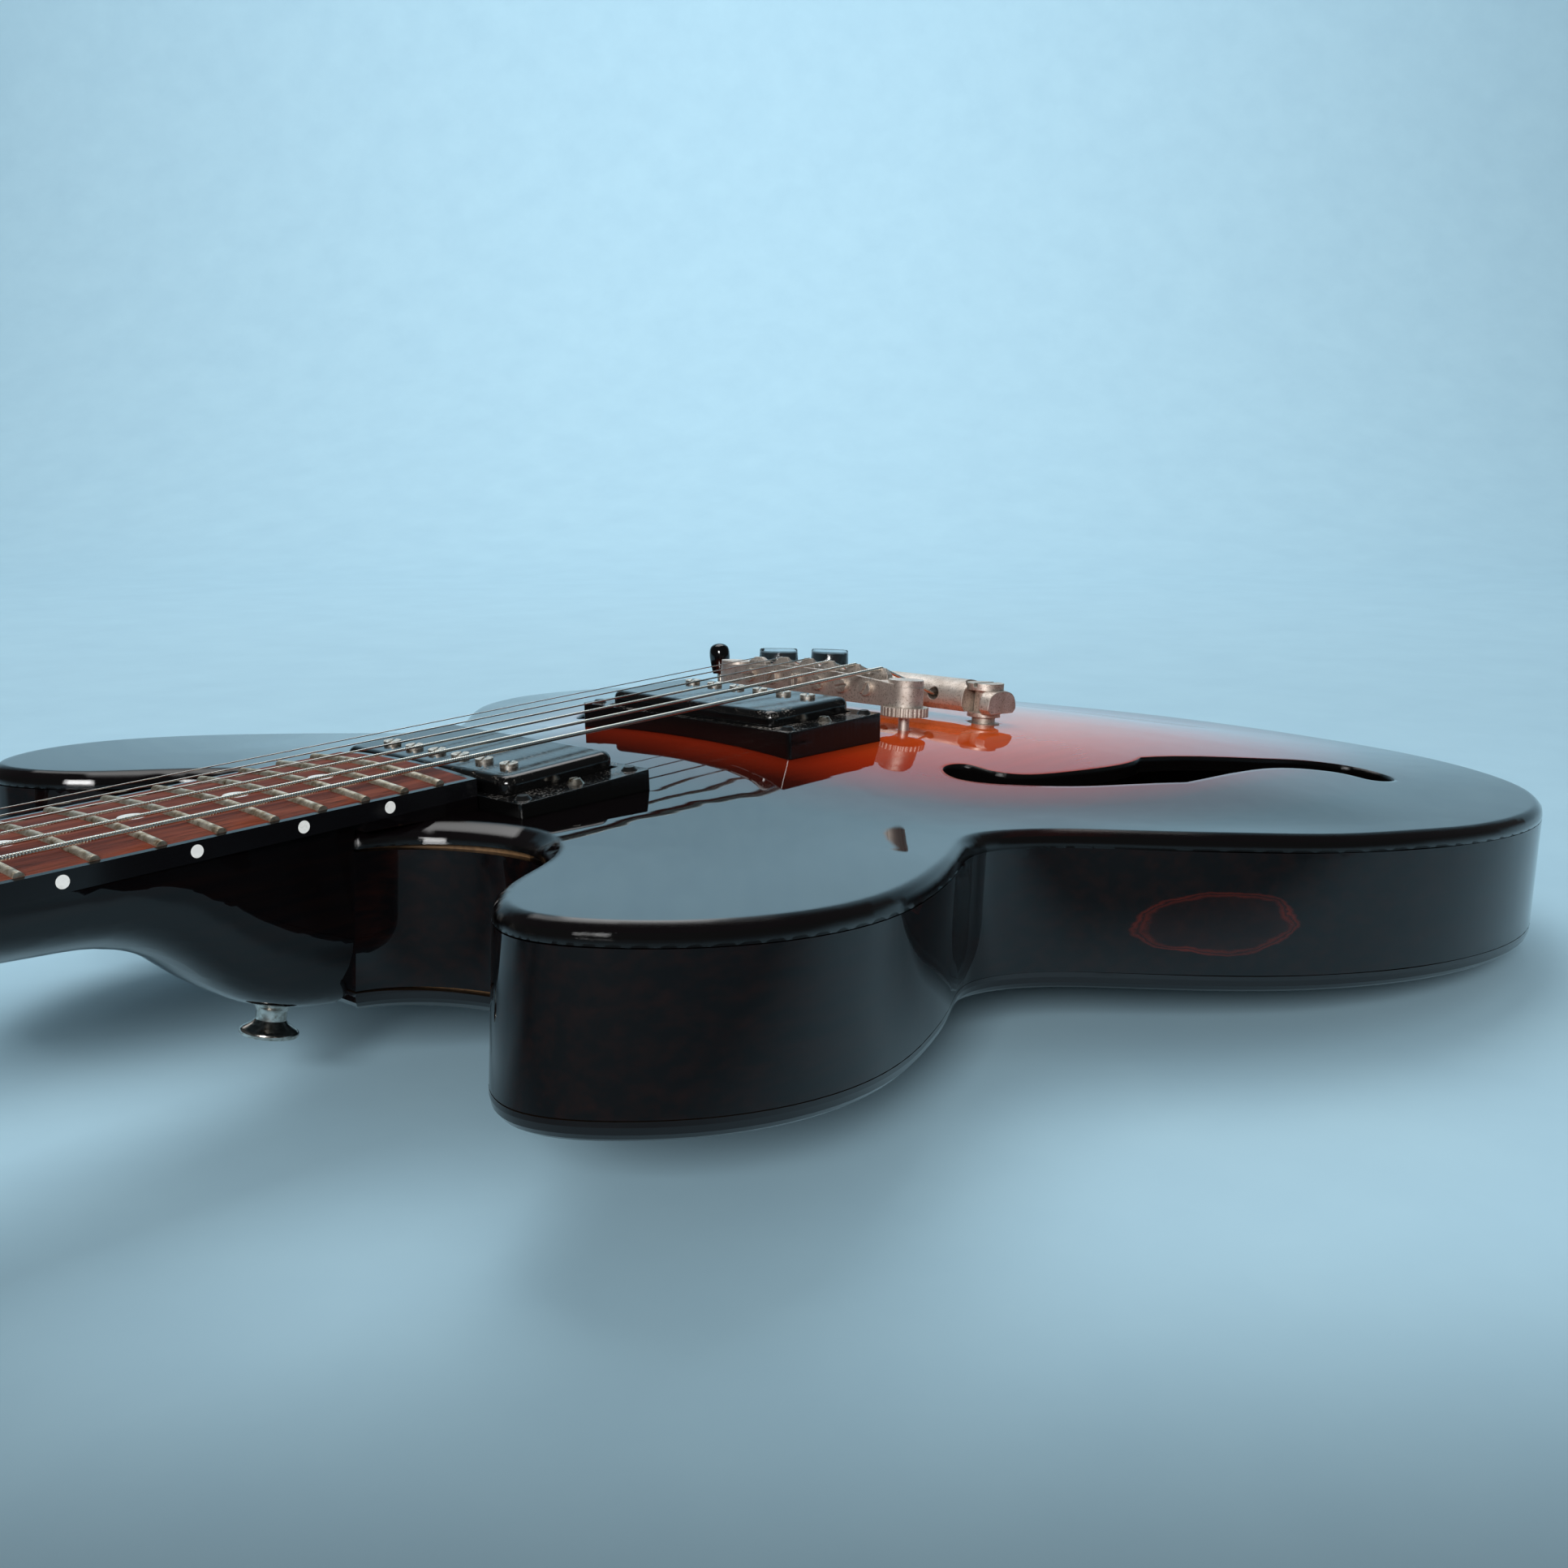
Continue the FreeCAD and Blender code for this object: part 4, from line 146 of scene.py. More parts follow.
colour = add_node(tree, "MixRGB", links={"Fac": downward, "Color1": sawn.outputs["Color"], "Color2": inside_in_painted_shade})
tree.links.new(colour.outputs["Color"], shader.inputs["Base Color"])
lacquered = add_node(tree, "Math", {1: -0.95, 2: 1.0}, {0: downward}, operation="MULTIPLY_ADD")
tree.links.new(lacquered.outputs[0], shader.inputs["Coat Weight"])
shader.inputs["Roughness"].default_value = 0.5
shader.inputs["Specular IOR Level"].default_value = 0.0
shader.inputs["Coat Roughness"].default_value = 0.02
shader.inputs["Coat IOR"].default_value = 1.48
ripple = add_node(tree, "TexNoise", {"Scale": 1 / (18 * mm), "Detail": 2.0}, {"Vector": coordinates})
rolled = add_node(tree, "Bevel", {"Radius": 2.2 * mm}, samples=4)
bump = add_node(tree, "Bump", {"Strength": 0.08, "Distance": 0.00012},
                {"Height": ripple.outputs["Fac"], "Normal": rolled.outputs["Normal"]})
tree.links.new(bump.outputs["Normal"], shader.inputs["Coat Normal"])
paint(top_finish, "top_plate")

back_stops = [(0.0, "#5a2216"), (0.45, "#45160e"), (0.75, "#200b09"), (0.98, "#0b0708")]
back_finish, tree, shader, coordinates, stained, facing = sunburst_lacquer("back_lacquer", back_stops, 0.8)
# Painted shade: the bare inside of the back, facing up, is coloured near black.
upward = add_node(tree, "Math", {1: 0.6}, {0: facing.outputs["Z"]}, operation="GREATER_THAN").outputs[0]
colour = add_node(tree, "MixRGB", {"Color2": linear("#1f1710")}, {"Fac": upward, "Color1": stained})
tree.links.new(colour.outputs["Color"], shader.inputs["Base Color"])
shader.inputs["Roughness"].default_value = 0.5
shader.inputs["Specular IOR Level"].default_value = 0.0
shader.inputs["Coat Weight"].default_value = 1.0
shader.inputs["Coat Roughness"].default_value = 0.03
paint(back_finish, "back_plate")


def black_lacquer(name, edge, heart, length, width):
    """Black stain under clear lacquer that lets a little red-brown grain through."""
    finish, tree, shader = new_finish(name)
    coordinates = add_node(tree, "TexCoord").outputs["Object"]
    fibres = grain(tree, coordinates, length, width)
    stain = add_node(tree, "ValToRGB", links={"Fac": fibres}, stops=[(0.42, edge), (0.78, heart)])
    tree.links.new(stain.outputs["Color"], shader.inputs["Base Color"])
    shader.inputs["Roughness"].default_value = 0.5
    shader.inputs["Specular IOR Level"].default_value = 0.0
    shader.inputs["Coat Weight"].default_value = 1.0
    shader.inputs["Coat Roughness"].default_value = 0.025
    shader.inputs["Coat IOR"].default_value = 1.42
    return finish, tree, shader, coordinates, stain.outputs["Color"]


# The bass side shows one long oval of rubbed grain near the tail end of its waist.
side_finish, tree, shader, coordinates, stained = black_lacquer(
    "side_lacquer", "#060506", "#160907", 70 * mm, 3 * mm)
oval_middle = lie @ Vector((-15 * mm, -161 * mm, -25 * mm))
oval_reach = (25 * mm, 40 * mm, 11 * mm)
placed = add_node(tree, "Mapping", {"Location": oval_middle, "Scale": oval_reach},
                  {"Vector": coordinates}, vector_type="TEXTURE").outputs["Vector"]
shake = add_node(tree, "TexNoise", {"Scale": 2.5, "Detail": 5.0}, {"Vector": placed}).outputs["Fac"]
reach = add_node(tree, "VectorMath", links={0: placed}, operation="LENGTH").outputs["Value"]
rough_reach = add_node(tree, "Math", {1: 0.35}, {0: shake, 2: reach}, operation="MULTIPLY_ADD").outputs[0]
oval = add_node(tree, "ValToRGB", links={"Fac": rough_reach}, stops=[
    (0.0, 0.0), (0.84, 0.05), (0.9, 0.5), (0.93, 0.1), (0.96, 0.6), (1.0, 0.0)]).outputs["Color"]
broken = add_node(tree, "Math", links={0: oval, 1: shake}, operation="MULTIPLY").outputs[0]
colour = add_node(tree, "MixRGB", {"Color2": linear("#6a2013")}, {"Fac": broken, "Color1": stained})
tree.links.new(colour.outputs["Color"], shader.inputs["Base Color"])
paint(side_finish, "rim_bass", "rim_treble")


# Centre block and kerfed linings: a solid maple block left bare between the plates, and
# spruce strips along the rim, coloured near black as painted shade so that nothing pale
# shows at the seams.
bare_finish, tree, shader = new_finish("bare_maple")
coordinates = add_node(tree, "TexCoord").outputs["Object"]
fibres = grain(tree, coordinates, 50 * mm, 1.2 * mm)
wood = add_node(tree, "ValToRGB", links={"Fac": fibres}, stops=[(0.3, "#5c4329"), (0.7, "#7b5c3a")])
tree.links.new(wood.outputs["Color"], shader.inputs["Base Color"])
shader.inputs["Roughness"].default_value = 0.7
# A wave texture at scale 1 repeats every 0.314 m.
wave_repeat = 0.314
saw_marks = add_node(tree, "TexWave", {"Scale": wave_repeat / (6 * mm), "Distortion": 0.0},
                     {"Vector": coordinates}, bands_direction="X")
bump = add_node(tree, "Bump", {"Strength": 0.3, "Distance": 0.8 * mm}, {"Height": saw_marks.outputs["Fac"]})
tree.links.new(bump.outputs["Normal"], shader.inputs["Normal"])
paint(bare_finish, "centre_block")

lining_painted_shade_finish, tree, shader = new_finish("linings_in_painted_shade")
coordinates = add_node(tree, "TexCoord").outputs["Object"]
fibres = grain(tree, coordinates, 30 * mm, 1.2 * mm)
# Painted shade: the linings' wood is coloured near black, the shade inside the closed body.
wood = add_node(tree, "ValToRGB", links={"Fac": fibres}, stops=[(0.3, "#120c08"), (0.7, "#1c130c")])
tree.links.new(wood.outputs["Color"], shader.inputs["Base Color"])
shader.inputs["Roughness"].default_value = 0.7
paint(lining_painted_shade_finish, "rim_linings")


# Neck: one piece of mahogany with its heel and headstock, carved, stained black and
# lacquered like the sides; a steel truss rod lies under the fretboard.
neck_finish = black_lacquer("neck_lacquer", "#060506", "#100807", 90 * mm, 2 * mm)[0]
paint(neck_finish, "neck")


def polished_steel(name, colour, roughness):
    """Plated steel, clouded where hands have dulled it."""
    finish, tree, shader = new_finish(name)
    coordinates = add_node(tree, "TexCoord").outputs["Object"]
    spots = add_node(tree, "TexNoise", {"Scale": 1 / (1.2 * mm), "Detail": 5.0}, {"Vector": coordinates})
    tint = add_node(tree, "ValToRGB", links={"Fac": spots.outputs["Fac"]},
                    stops=[(0.3, "#8d877d"), (0.6, colour)])
    tree.links.new(tint.outputs["Color"], shader.inputs["Base Color"])
    worn = add_node(tree, "MapRange", {"To Min": roughness * 0.7, "To Max": roughness * 1.5},
                    {"Value": spots.outputs["Fac"]})
    tree.links.new(worn.outputs["Result"], shader.inputs["Roughness"])
    shader.inputs["Metallic"].default_value = 1.0
    return finish


screw_finish = polished_steel("nickel_plated_screws", "#cfc9bd", 0.25)
paint(screw_finish, "truss_rod", "headstock_screws", "button_screws")

cover_finish, tree, shader = new_finish("black_cover_plastic")
coordinates = add_node(tree, "TexCoord").outputs["Object"]
shader.inputs["Base Color"].default_value = linear("#0d0d0e")
dulled = add_node(tree, "TexNoise", {"Scale": 1 / (5 * mm), "Detail": 6.0}, {"Vector": coordinates})
worn = add_node(tree, "MapRange", {"To Min": 0.12, "To Max": 0.3}, {"Value": dulled.outputs["Fac"]})
tree.links.new(worn.outputs["Result"], shader.inputs["Roughness"])
paint(cover_finish, "truss_rod_cover")


# Fretboard: a rosewood slab with a cylindrical face, bound in black plastic and inlaid
# with pearl dots; smaller ones mark the same frets on the player's edge.
board_finish, tree, shader = new_finish("oiled_rosewood")
coordinates = add_node(tree, "TexCoord").outputs["Object"]
bands = grain(tree, coordinates, 120 * mm, 4 * mm, 3.0)
pores = grain(tree, coordinates, 9 * mm, 0.35 * mm, 2.0)
wood = add_node(tree, "ValToRGB", links={"Fac": bands},
                stops=[(0.28, "#3d1a12"), (0.45, "#642c1d"), (0.6, "#7a3d29"), (0.75, "#502519")])
open_pores = add_node(tree, "ValToRGB", links={"Fac": pores}, stops=[(0.34, 0.25), (0.46, 1.0)])
colour = add_node(tree, "MixRGB", {"Fac": 0.8},
                  {"Color1": wood.outputs["Color"], "Color2": open_pores.outputs["Color"]},
                  blend_type="MULTIPLY")
tree.links.new(colour.outputs["Color"], shader.inputs["Base Color"])
shader.inputs["Roughness"].default_value = 0.6
shader.inputs["Specular IOR Level"].default_value = 0.1
bump = add_node(tree, "Bump", {"Strength": 0.5, "Distance": 0.15 * mm},
                {"Height": open_pores.outputs["Color"]})
tree.links.new(bump.outputs["Normal"], shader.inputs["Normal"])
paint(board_finish, "fretboard")

binding_finish, tree, shader = new_finish("black_celluloid_binding")
coordinates = add_node(tree, "TexCoord").outputs["Object"]
shader.inputs["Base Color"].default_value = linear("#0b0b0d")
smear = add_node(tree, "TexNoise", {"Scale": 1 / (12 * mm), "Detail": 4.0}, {"Vector": coordinates})
worn = add_node(tree, "MapRange", {"To Min": 0.08, "To Max": 0.2}, {"Value": smear.outputs["Fac"]})
tree.links.new(worn.outputs["Result"], shader.inputs["Roughness"])
paint(binding_finish, "fretboard_binding")

pearl_finish, tree, shader = new_finish("pearl_dot_plastic")
coordinates = add_node(tree, "TexCoord").outputs["Object"]
cloud = add_node(tree, "TexNoise", {"Scale": 1 / (2.5 * mm), "Detail": 3.0, "Distortion": 1.5},
                 {"Vector": coordinates})
swirl = add_node(tree, "ValToRGB", links={"Fac": cloud.outputs["Fac"]},
                 stops=[(0.35, "#e9e8e2"), (0.5, "#f8f7f2"), (0.65, "#f1f0ec")])
tree.links.new(swirl.outputs["Color"], shader.inputs["Base Color"])
shader.inputs["Roughness"].default_value = 0.22
paint(pearl_finish, "inlay_dots")


# Frets: nickel silver wire pressed into sawn slots, its crowns worn bright under the
# strings and dull with brown grime where they meet the wood.
fret_finish, tree, shader = new_finish("tarnished_nickel_silver")
coordinates = add_node(tree, "TexCoord").outputs["Object"]
blotches = add_node(tree, "TexNoise", {"Scale": 1 / (2.2 * mm), "Detail": 6.0, "Roughness": 0.65},
                    {"Vector": coordinates})
tarnish = add_node(tree, "ValToRGB", links={"Fac": blotches.outputs["Fac"]},
                   stops=[(0.32, "#7a6046"), (0.44, "#b9ad97"), (0.6, "#e0dacb")])
tree.links.new(tarnish.outputs["Color"], shader.inputs["Base Color"])
worn = add_node(tree, "MapRange", {"To Min": 0.6, "To Max": 0.4}, {"Value": blotches.outputs["Fac"]})
tree.links.new(worn.outputs["Result"], shader.inputs["Roughness"])
shader.inputs["Metallic"].default_value = 1.0
paint(fret_finish, "frets")


# Nut: a moulded cream plastic bar glued across the end of the fretboard, its six slots
# filed for the strings.
nut_finish, tree, shader = new_finish("cream_nut_plastic")
coordinates = add_node(tree, "TexCoord").outputs["Object"]
cloud = add_node(tree, "TexNoise", {"Scale": 1 / (4 * mm), "Detail": 3.0}, {"Vector": coordinates})
cream = add_node(tree, "ValToRGB", links={"Fac": cloud.outputs["Fac"]},
                 stops=[(0.3, "#d6cba9"), (0.7, "#e6ddc2")])
tree.links.new(cream.outputs["Color"], shader.inputs["Base Color"])
shader.inputs["Roughness"].default_value = 0.35
paint(nut_finish, "nut")


# Tuners: cast keys on worm gears in pressed covers, turning posts through the headstock.
# All are nickel plated, dulled a little by handling.
tuner_finish = polished_steel("nickel_plated_tuners", "#c4bfb4", 0.22)
paint(tuner_finish, "tuner_housings", "tuner_bushings", *[f"tuner_key_{i}" for i in range(1, 7)],
      *[f"string_post_{i}" for i in range(1, 7)])


# Pickups: two humbuckers of wound coils under black covers, each hung on screws in a
# raised moulded ring; dust lies in the tray between cover and ring.
def dusty_plastic(name, colour, dust_low, dust_high):
    """Glossy black plastic with fine scratches, and grey dust on faces that look up."""
    finish, tree, shader = new_finish(name)
    coordinates = add_node(tree, "TexCoord").outputs["Object"]
    specks = add_node(tree, "TexNoise", {"Scale": 1 / (0.7 * mm), "Detail": 8.0, "Roughness": 0.75},
                      {"Vector": coordinates}).outputs["Fac"]
    patches = add_node(tree, "TexNoise", {"Scale": 1 / (14 * mm), "Detail": 3.0}, {"Vector": coordinates})
    both = add_node(tree, "Math", {1: 0.55}, {0: patches.outputs["Fac"], 2: specks},
                    operation="MULTIPLY_ADD").outputs[0]
    dust = add_node(tree, "ValToRGB", links={"Fac": both},
                    stops=[(dust_low, 0.0), (dust_high, 1.0)]).outputs["Color"]
    upward = add_node(tree, "SeparateXYZ", links={"Vector": add_node(tree, "TexCoord").outputs["Normal"]})
    amount = add_node(tree, "Math", links={0: dust, 1: upward.outputs["Z"]}, operation="MULTIPLY",
                      use_clamp=True)
    coloured = add_node(tree, "MixRGB", {"Color1": linear(colour), "Color2": linear("#8d8780")},
                        {"Fac": amount.outputs[0]})
    tree.links.new(coloured.outputs["Color"], shader.inputs["Base Color"])
    scratches = grain(tree, coordinates, 0.25 * mm, 25 * mm, 2.0)
    dull = add_node(tree, "MapRange", {"From Min": 0.45, "From Max": 0.75, "To Min": 0.07, "To Max": 0.22},
                    {"Value": scratches})
    rough = add_node(tree, "Math", {1: 0.6}, {0: amount.outputs[0], 2: dull.outputs["Result"]},
                     operation="MULTIPLY_ADD", use_clamp=True)
    tree.links.new(rough.outputs[0], shader.inputs["Roughness"])
    softened = add_node(tree, "Bevel", {"Radius": 0.5 * mm}, samples=4)
    tree.links.new(softened.outputs["Normal"], shader.inputs["Normal"])
    return finish


ring_finish = dusty_plastic("black_ring_plastic", "#060606", 0.8, 1.0)
pickup_cover_finish = dusty_plastic("black_pickup_cover", "#070707", 0.9, 1.15)
paint(ring_finish, "neck_pickup_ring", "bridge_pickup_ring")
paint(pickup_cover_finish, "neck_pickup_cover", "bridge_pickup_cover")

# Only the two height screws in the middle of each ring are bright; the corner ones are black.
ring_screw_finish, tree, shader = new_finish("black_and_nickel_screws")
coordinates = add_node(tree, "TexCoord").outputs["Object"]
level = add_node(tree, "Mapping", {"Location": lie.translation, "Rotation": lie.to_euler()},
                 {"Vector": coordinates}, vector_type="TEXTURE").outputs["Vector"]
along = add_node(tree, "SeparateXYZ", links={"Vector": level}).outputs["X"]
neck_coil_middle, bridge_coil_middle = -141.6, -40.2
near_middle = [add_node(tree, "Math", {1: middle * mm, 2: 7 * mm}, {0: along}, operation="COMPARE").outputs[0]
               for middle in (neck_coil_middle, bridge_coil_middle)]
bright = add_node(tree, "Math", links={0: near_middle[0], 1: near_middle[1]}, operation="MAXIMUM").outputs[0]
spots = add_node(tree, "TexNoise", {"Scale": 1 / (1.0 * mm), "Detail": 5.0}, {"Vector": coordinates})
nickel = add_node(tree, "ValToRGB", links={"Fac": spots.outputs["Fac"]},
                  stops=[(0.34, "#8b8174"), (0.6, "#d6cfc2")]).outputs["Color"]
colour = add_node(tree, "MixRGB", {"Color1": linear("#0a0a0a")}, {"Fac": bright, "Color2": nickel})
tree.links.new(colour.outputs["Color"], shader.inputs["Base Color"])
tree.links.new(bright, shader.inputs["Metallic"])
shader.inputs["Roughness"].default_value = 0.28
paint(ring_screw_finish, "ring_screws")


def coil_finish(name, centre, height, slope):
    """Black bobbins, with the slotted nickel heads of the pole screws above the cover."""
    finish, tree, shader = new_finish(name)
    coordinates = add_node(tree, "TexCoord").outputs["Object"]
    tilt = Matrix.Rotation(math.radians(-slope), 4, "Y")
    ring = lie @ Matrix.Translation((centre * mm, 0, height * mm)) @ tilt
    local = add_node(tree, "Mapping", {"Location": ring.translation, "Rotation": ring.to_euler()},
                     {"Vector": coordinates}, vector_type="TEXTURE").outputs["Vector"]
    level = add_node(tree, "SeparateXYZ", links={"Vector": local}).outputs["Z"]
    proud = 3.8 * mm
    head = add_node(tree, "Math", {1: proud}, {0: level}, operation="GREATER_THAN").outputs[0]
    blotches = add_node(tree, "TexNoise", {"Scale": 1 / (0.9 * mm), "Detail": 5.0}, {"Vector": coordinates})
    nickel = add_node(tree, "ValToRGB", links={"Fac": blotches.outputs["Fac"]},
                      stops=[(0.36, "#9a8f82"), (0.55, "#e2dcd2")]).outputs["Color"]
    colour = add_node(tree, "MixRGB", {"Color1": linear("#100e0d")}, {"Fac": head, "Color2": nickel})
    tree.links.new(colour.outputs["Color"], shader.inputs["Base Color"])
    tree.links.new(head, shader.inputs["Metallic"])
    worn = add_node(tree, "MapRange", {"To Min": 0.6, "To Max": 0.4}, {"Value": blotches.outputs["Fac"]})
    tree.links.new(worn.outputs["Result"], shader.inputs["Roughness"])
    return finish


paint(coil_finish("neck_coils", neck_coil_middle, 8.6, 6.8), "neck_pickup_coils")
paint(coil_finish("bridge_coils", bridge_coil_middle, 19.1, 4.6), "bridge_pickup_coils")


# Bridge: a cast zinc body with six saddles on slotted screws, riding on two knurled
# wheels; the nickel plating has gone satin grey with brown pitting.
def aged_nickel(name, bright, dull, spot):
    """Satin nickel plating with fine brown pits and cloudy patches."""
    finish, tree, shader = new_finish(name)
    coordinates = add_node(tree, "TexCoord").outputs["Object"]
    clouds = add_node(tree, "TexNoise", {"Scale": 1 / (6 * mm), "Detail": 5.0},
                      {"Vector": coordinates}).outputs["Fac"]
    pits = add_node(tree, "TexNoise", {"Scale": 1 / (0.6 * mm), "Detail": 6.0, "Roughness": 0.7},
                    {"Vector": coordinates}).outputs["Fac"]
    plating = add_node(tree, "ValToRGB", links={"Fac": clouds}, stops=[(0.3, dull), (0.65, bright)])
    pitted = add_node(tree, "ValToRGB", links={"Fac": pits}, stops=[(0.36, 1.0), (0.47, 0.0)])
    amount = add_node(tree, "Math", {1: 0.75}, {0: pitted.outputs["Color"]}, operation="MULTIPLY").outputs[0]
    colour = add_node(tree, "MixRGB", {"Color2": linear(spot)},
                      {"Fac": amount, "Color1": plating.outputs["Color"]})
    tree.links.new(colour.outputs["Color"], shader.inputs["Base Color"])
    rough = add_node(tree, "MapRange", {"To Min": 0.66, "To Max": 0.46}, {"Value": clouds})
    tree.links.new(rough.outputs["Result"], shader.inputs["Roughness"])
    softened = add_node(tree, "Bevel", {"Radius": 0.45 * mm}, samples=4)
    bump = add_node(tree, "Bump", {"Strength": 0.25, "Distance": 0.08 * mm},
                    {"Height": pits, "Normal": softened.outputs["Normal"]})
    tree.links.new(bump.outputs["Normal"], shader.inputs["Normal"])
    shader.inputs["Metallic"].default_value = 1.0
    return finish


bridge_finish = aged_nickel("aged_nickel_casting", "#e4dad1", "#beb2a8", "#7a6857")
paint(bridge_finish, "bridge_base", "bridge_posts", *[f"saddle_{i}" for i in range(1, 7)])
bright_nickel = aged_nickel("handled_nickel_screws", "#ddd4ca", "#b3a79b", "#75665a")
paint(bright_nickel, "intonation_screws", "thumbwheel_bass", "thumbwheel_treble")


# Tailpiece: a cast bar, nickel plated like the bridge, that hangs on two slotted studs.
# The studs screw into ribbed steel bushings pressed into the centre block.
paint(bridge_finish, "tailpiece")
paint(bright_nickel, "tailpiece_studs", "stud_bushings")


# Strings: three steel cores wound with nickel wire and three plain steel ones, hooked in
# the tailpiece, bent over saddle and nut and wrapped round the tuner posts.
def string_metal(name, colour, pitch, depth):
    """Bright string metal; the winding shows as fine ribs along the string."""
    finish, tree, shader = new_finish(name)
    coordinates = add_node(tree, "TexCoord").outputs["Object"]
    ribs = add_node(tree, "TexWave", {"Scale": wave_repeat / pitch}, {"Vector": coordinates},
                    bands_direction="X")
    bump = add_node(tree, "Bump", {"Strength": 0.9, "Distance": depth}, {"Height": ribs.outputs["Fac"]})
    tree.links.new(bump.outputs["Normal"], shader.inputs["Normal"])
    shader.inputs["Base Color"].default_value = linear(colour)
    shader.inputs["Metallic"].default_value = 1.0
    shader.inputs["Roughness"].default_value = 0.22
    return finish


# The winding is drawn at 0.7 mm, coarser than the real wire, so that it shows.
wound_finish = string_metal("nickel_wound_string", "#e2ddd2", 0.7 * mm, 0.12 * mm)
plain_finish = string_metal("plain_steel_string", "#b9b7b2", 4 * mm, 0.004 * mm)
paint(wound_finish, "wound_strings")
paint(plain_finish, "plain_strings")


# Controls: two potentiometers whose shafts carry clear acrylic speed knobs with a black
# painted core, a three-way lever switch with a moulded black tip, and the output jack.
paint(screw_finish, "potentiometers", "toggle_switch", "output_jack")


def turned_piece(name, profile, steps=48):
    """Solid turned round Z from radius and height pairs in millimetres, foot first."""
    bpy.ops.object.select_all(action="DESELECT")
    radius, height = profile[0]
    bpy.ops.mesh.primitive_circle_add(vertices=steps, radius=radius * mm, fill_type="NGON",
                                      location=(0, 0, height * mm))
    piece = bpy.context.object
    piece.name = name
    bpy.ops.object.transform_apply(location=True, rotation=True, scale=True)
    bpy.ops.object.mode_set(mode="EDIT")
    bpy.ops.mesh.select_all(action="SELECT")
    for (last, low), (following, high) in zip(profile, profile[1:]):
        bpy.ops.mesh.extrude_region_move(TRANSFORM_OT_translate={"value": (0, 0, (high - low) * mm)})
        share = following / last
        bpy.ops.transform.resize(value=(share, share, 1), center_override=(0, 0, high * mm))
    bpy.ops.mesh.select_all(action="SELECT")
    bpy.ops.mesh.normals_make_consistent(inside=False)
    bpy.ops.object.mode_set(mode="OBJECT")
    bpy.ops.object.shade_smooth_by_angle(angle=math.radians(38))
    return piece


def seat(piece, place, body, node, *finishes):
    """Lays a finished piece in its place and hands it over to the frame."""
    for finish in finishes:
        piece.data.materials.append(finish)
    piece.matrix_world = place
    bpy.ops.object.select_all(action="DESELECT")
    piece.select_set(True)
    bpy.context.view_layer.objects.active = piece
    bpy.ops.object.transform_apply(location=True, rotation=True, scale=True)
    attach(piece, body)
    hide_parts(node)


def standing(spot, up):
    """Place of a piece that stands on the instrument: foot in millimetres and direction."""
    turn = Vector((0, 0, 1)).rotation_difference(Vector(up)).to_matrix().to_4x4()
    return lie @ Matrix.Translation(Vector(spot) * mm) @ turn


def joined(*pieces):
    """One object from several, each with its own finish."""
    bpy.ops.object.select_all(action="DESELECT")
    for piece in pieces:
        piece.select_set(True)
    bpy.context.view_layer.objects.active = pieces[0]
    bpy.ops.object.join()
    return bpy.context.object


acrylic, tree, shader = new_finish("clear_acrylic")
coordinates = add_node(tree, "TexCoord").outputs["Object"]
wear = add_node(tree, "TexNoise", {"Scale": 1 / (2 * mm), "Detail": 6.0}, {"Vector": coordinates})
hazed = add_node(tree, "MapRange", {"To Min": 0.0, "To Max": 0.12}, {"Value": wear.outputs["Fac"]})
tree.links.new(hazed.outputs["Result"], shader.inputs["Roughness"])
shader.inputs["Base Color"].default_value = linear("#f4f8fa")
shader.inputs["Transmission Weight"].default_value = 1.0
shader.inputs["IOR"].default_value = 1.49

core_finish, tree, shader = new_finish("black_knob_core")
coordinates = add_node(tree, "TexCoord").outputs["Object"]
flecks = add_node(tree, "TexNoise", {"Scale": 1 / (0.8 * mm), "Detail": 4.0}, {"Vector": coordinates})
black = add_node(tree, "ValToRGB", links={"Fac": flecks.outputs["Fac"]},
                 stops=[(0.4, "#070708"), (0.7, "#131415")])
tree.links.new(black.outputs["Color"], shader.inputs["Base Color"])
shader.inputs["Roughness"].default_value = 0.3

# The clear shell is open below. The black core fills its hollow and is a hair wider, so
# that no film of air shows between them.
shell = turned_piece("volume_speed_knob", [
    (6.3, 13.9), (7.0, 0.3), (7.1, 0.0), (9.4, 0.0), (9.5, 0.2), (9.48, 1.0), (8.85, 15.6), (8.6, 16.3),
    (8.2, 16.5),
])
shell.data.materials.append(acrylic)
core = turned_piece("knob_core", [(3.05, 11.0), (3.05, 0.5), (7.1, 0.5), (6.45, 14.1)])
core.data.materials.append(core_finish)
volume_knob = joined(shell, core)
tone_knob = volume_knob.copy()
tone_knob.data = volume_knob.data.copy()
tone_knob.name = "tone_speed_knob"
bpy.context.collection.objects.link(tone_knob)
up_the_shaft = Matrix.Translation((0, 0, 3.2 * mm))
for knob, spot, up, body in (
    (volume_knob, (150.0, 142.0, 2.73), (0.03177, 0.07149, 0.99694), "volume"),
    (tone_knob, (186.0, 141.0, 1.558), (0.03443, 0.04003, 0.99861), "tone"),
):
    seat(knob, standing(spot, up) @ up_the_shaft, body, body + "_knob")

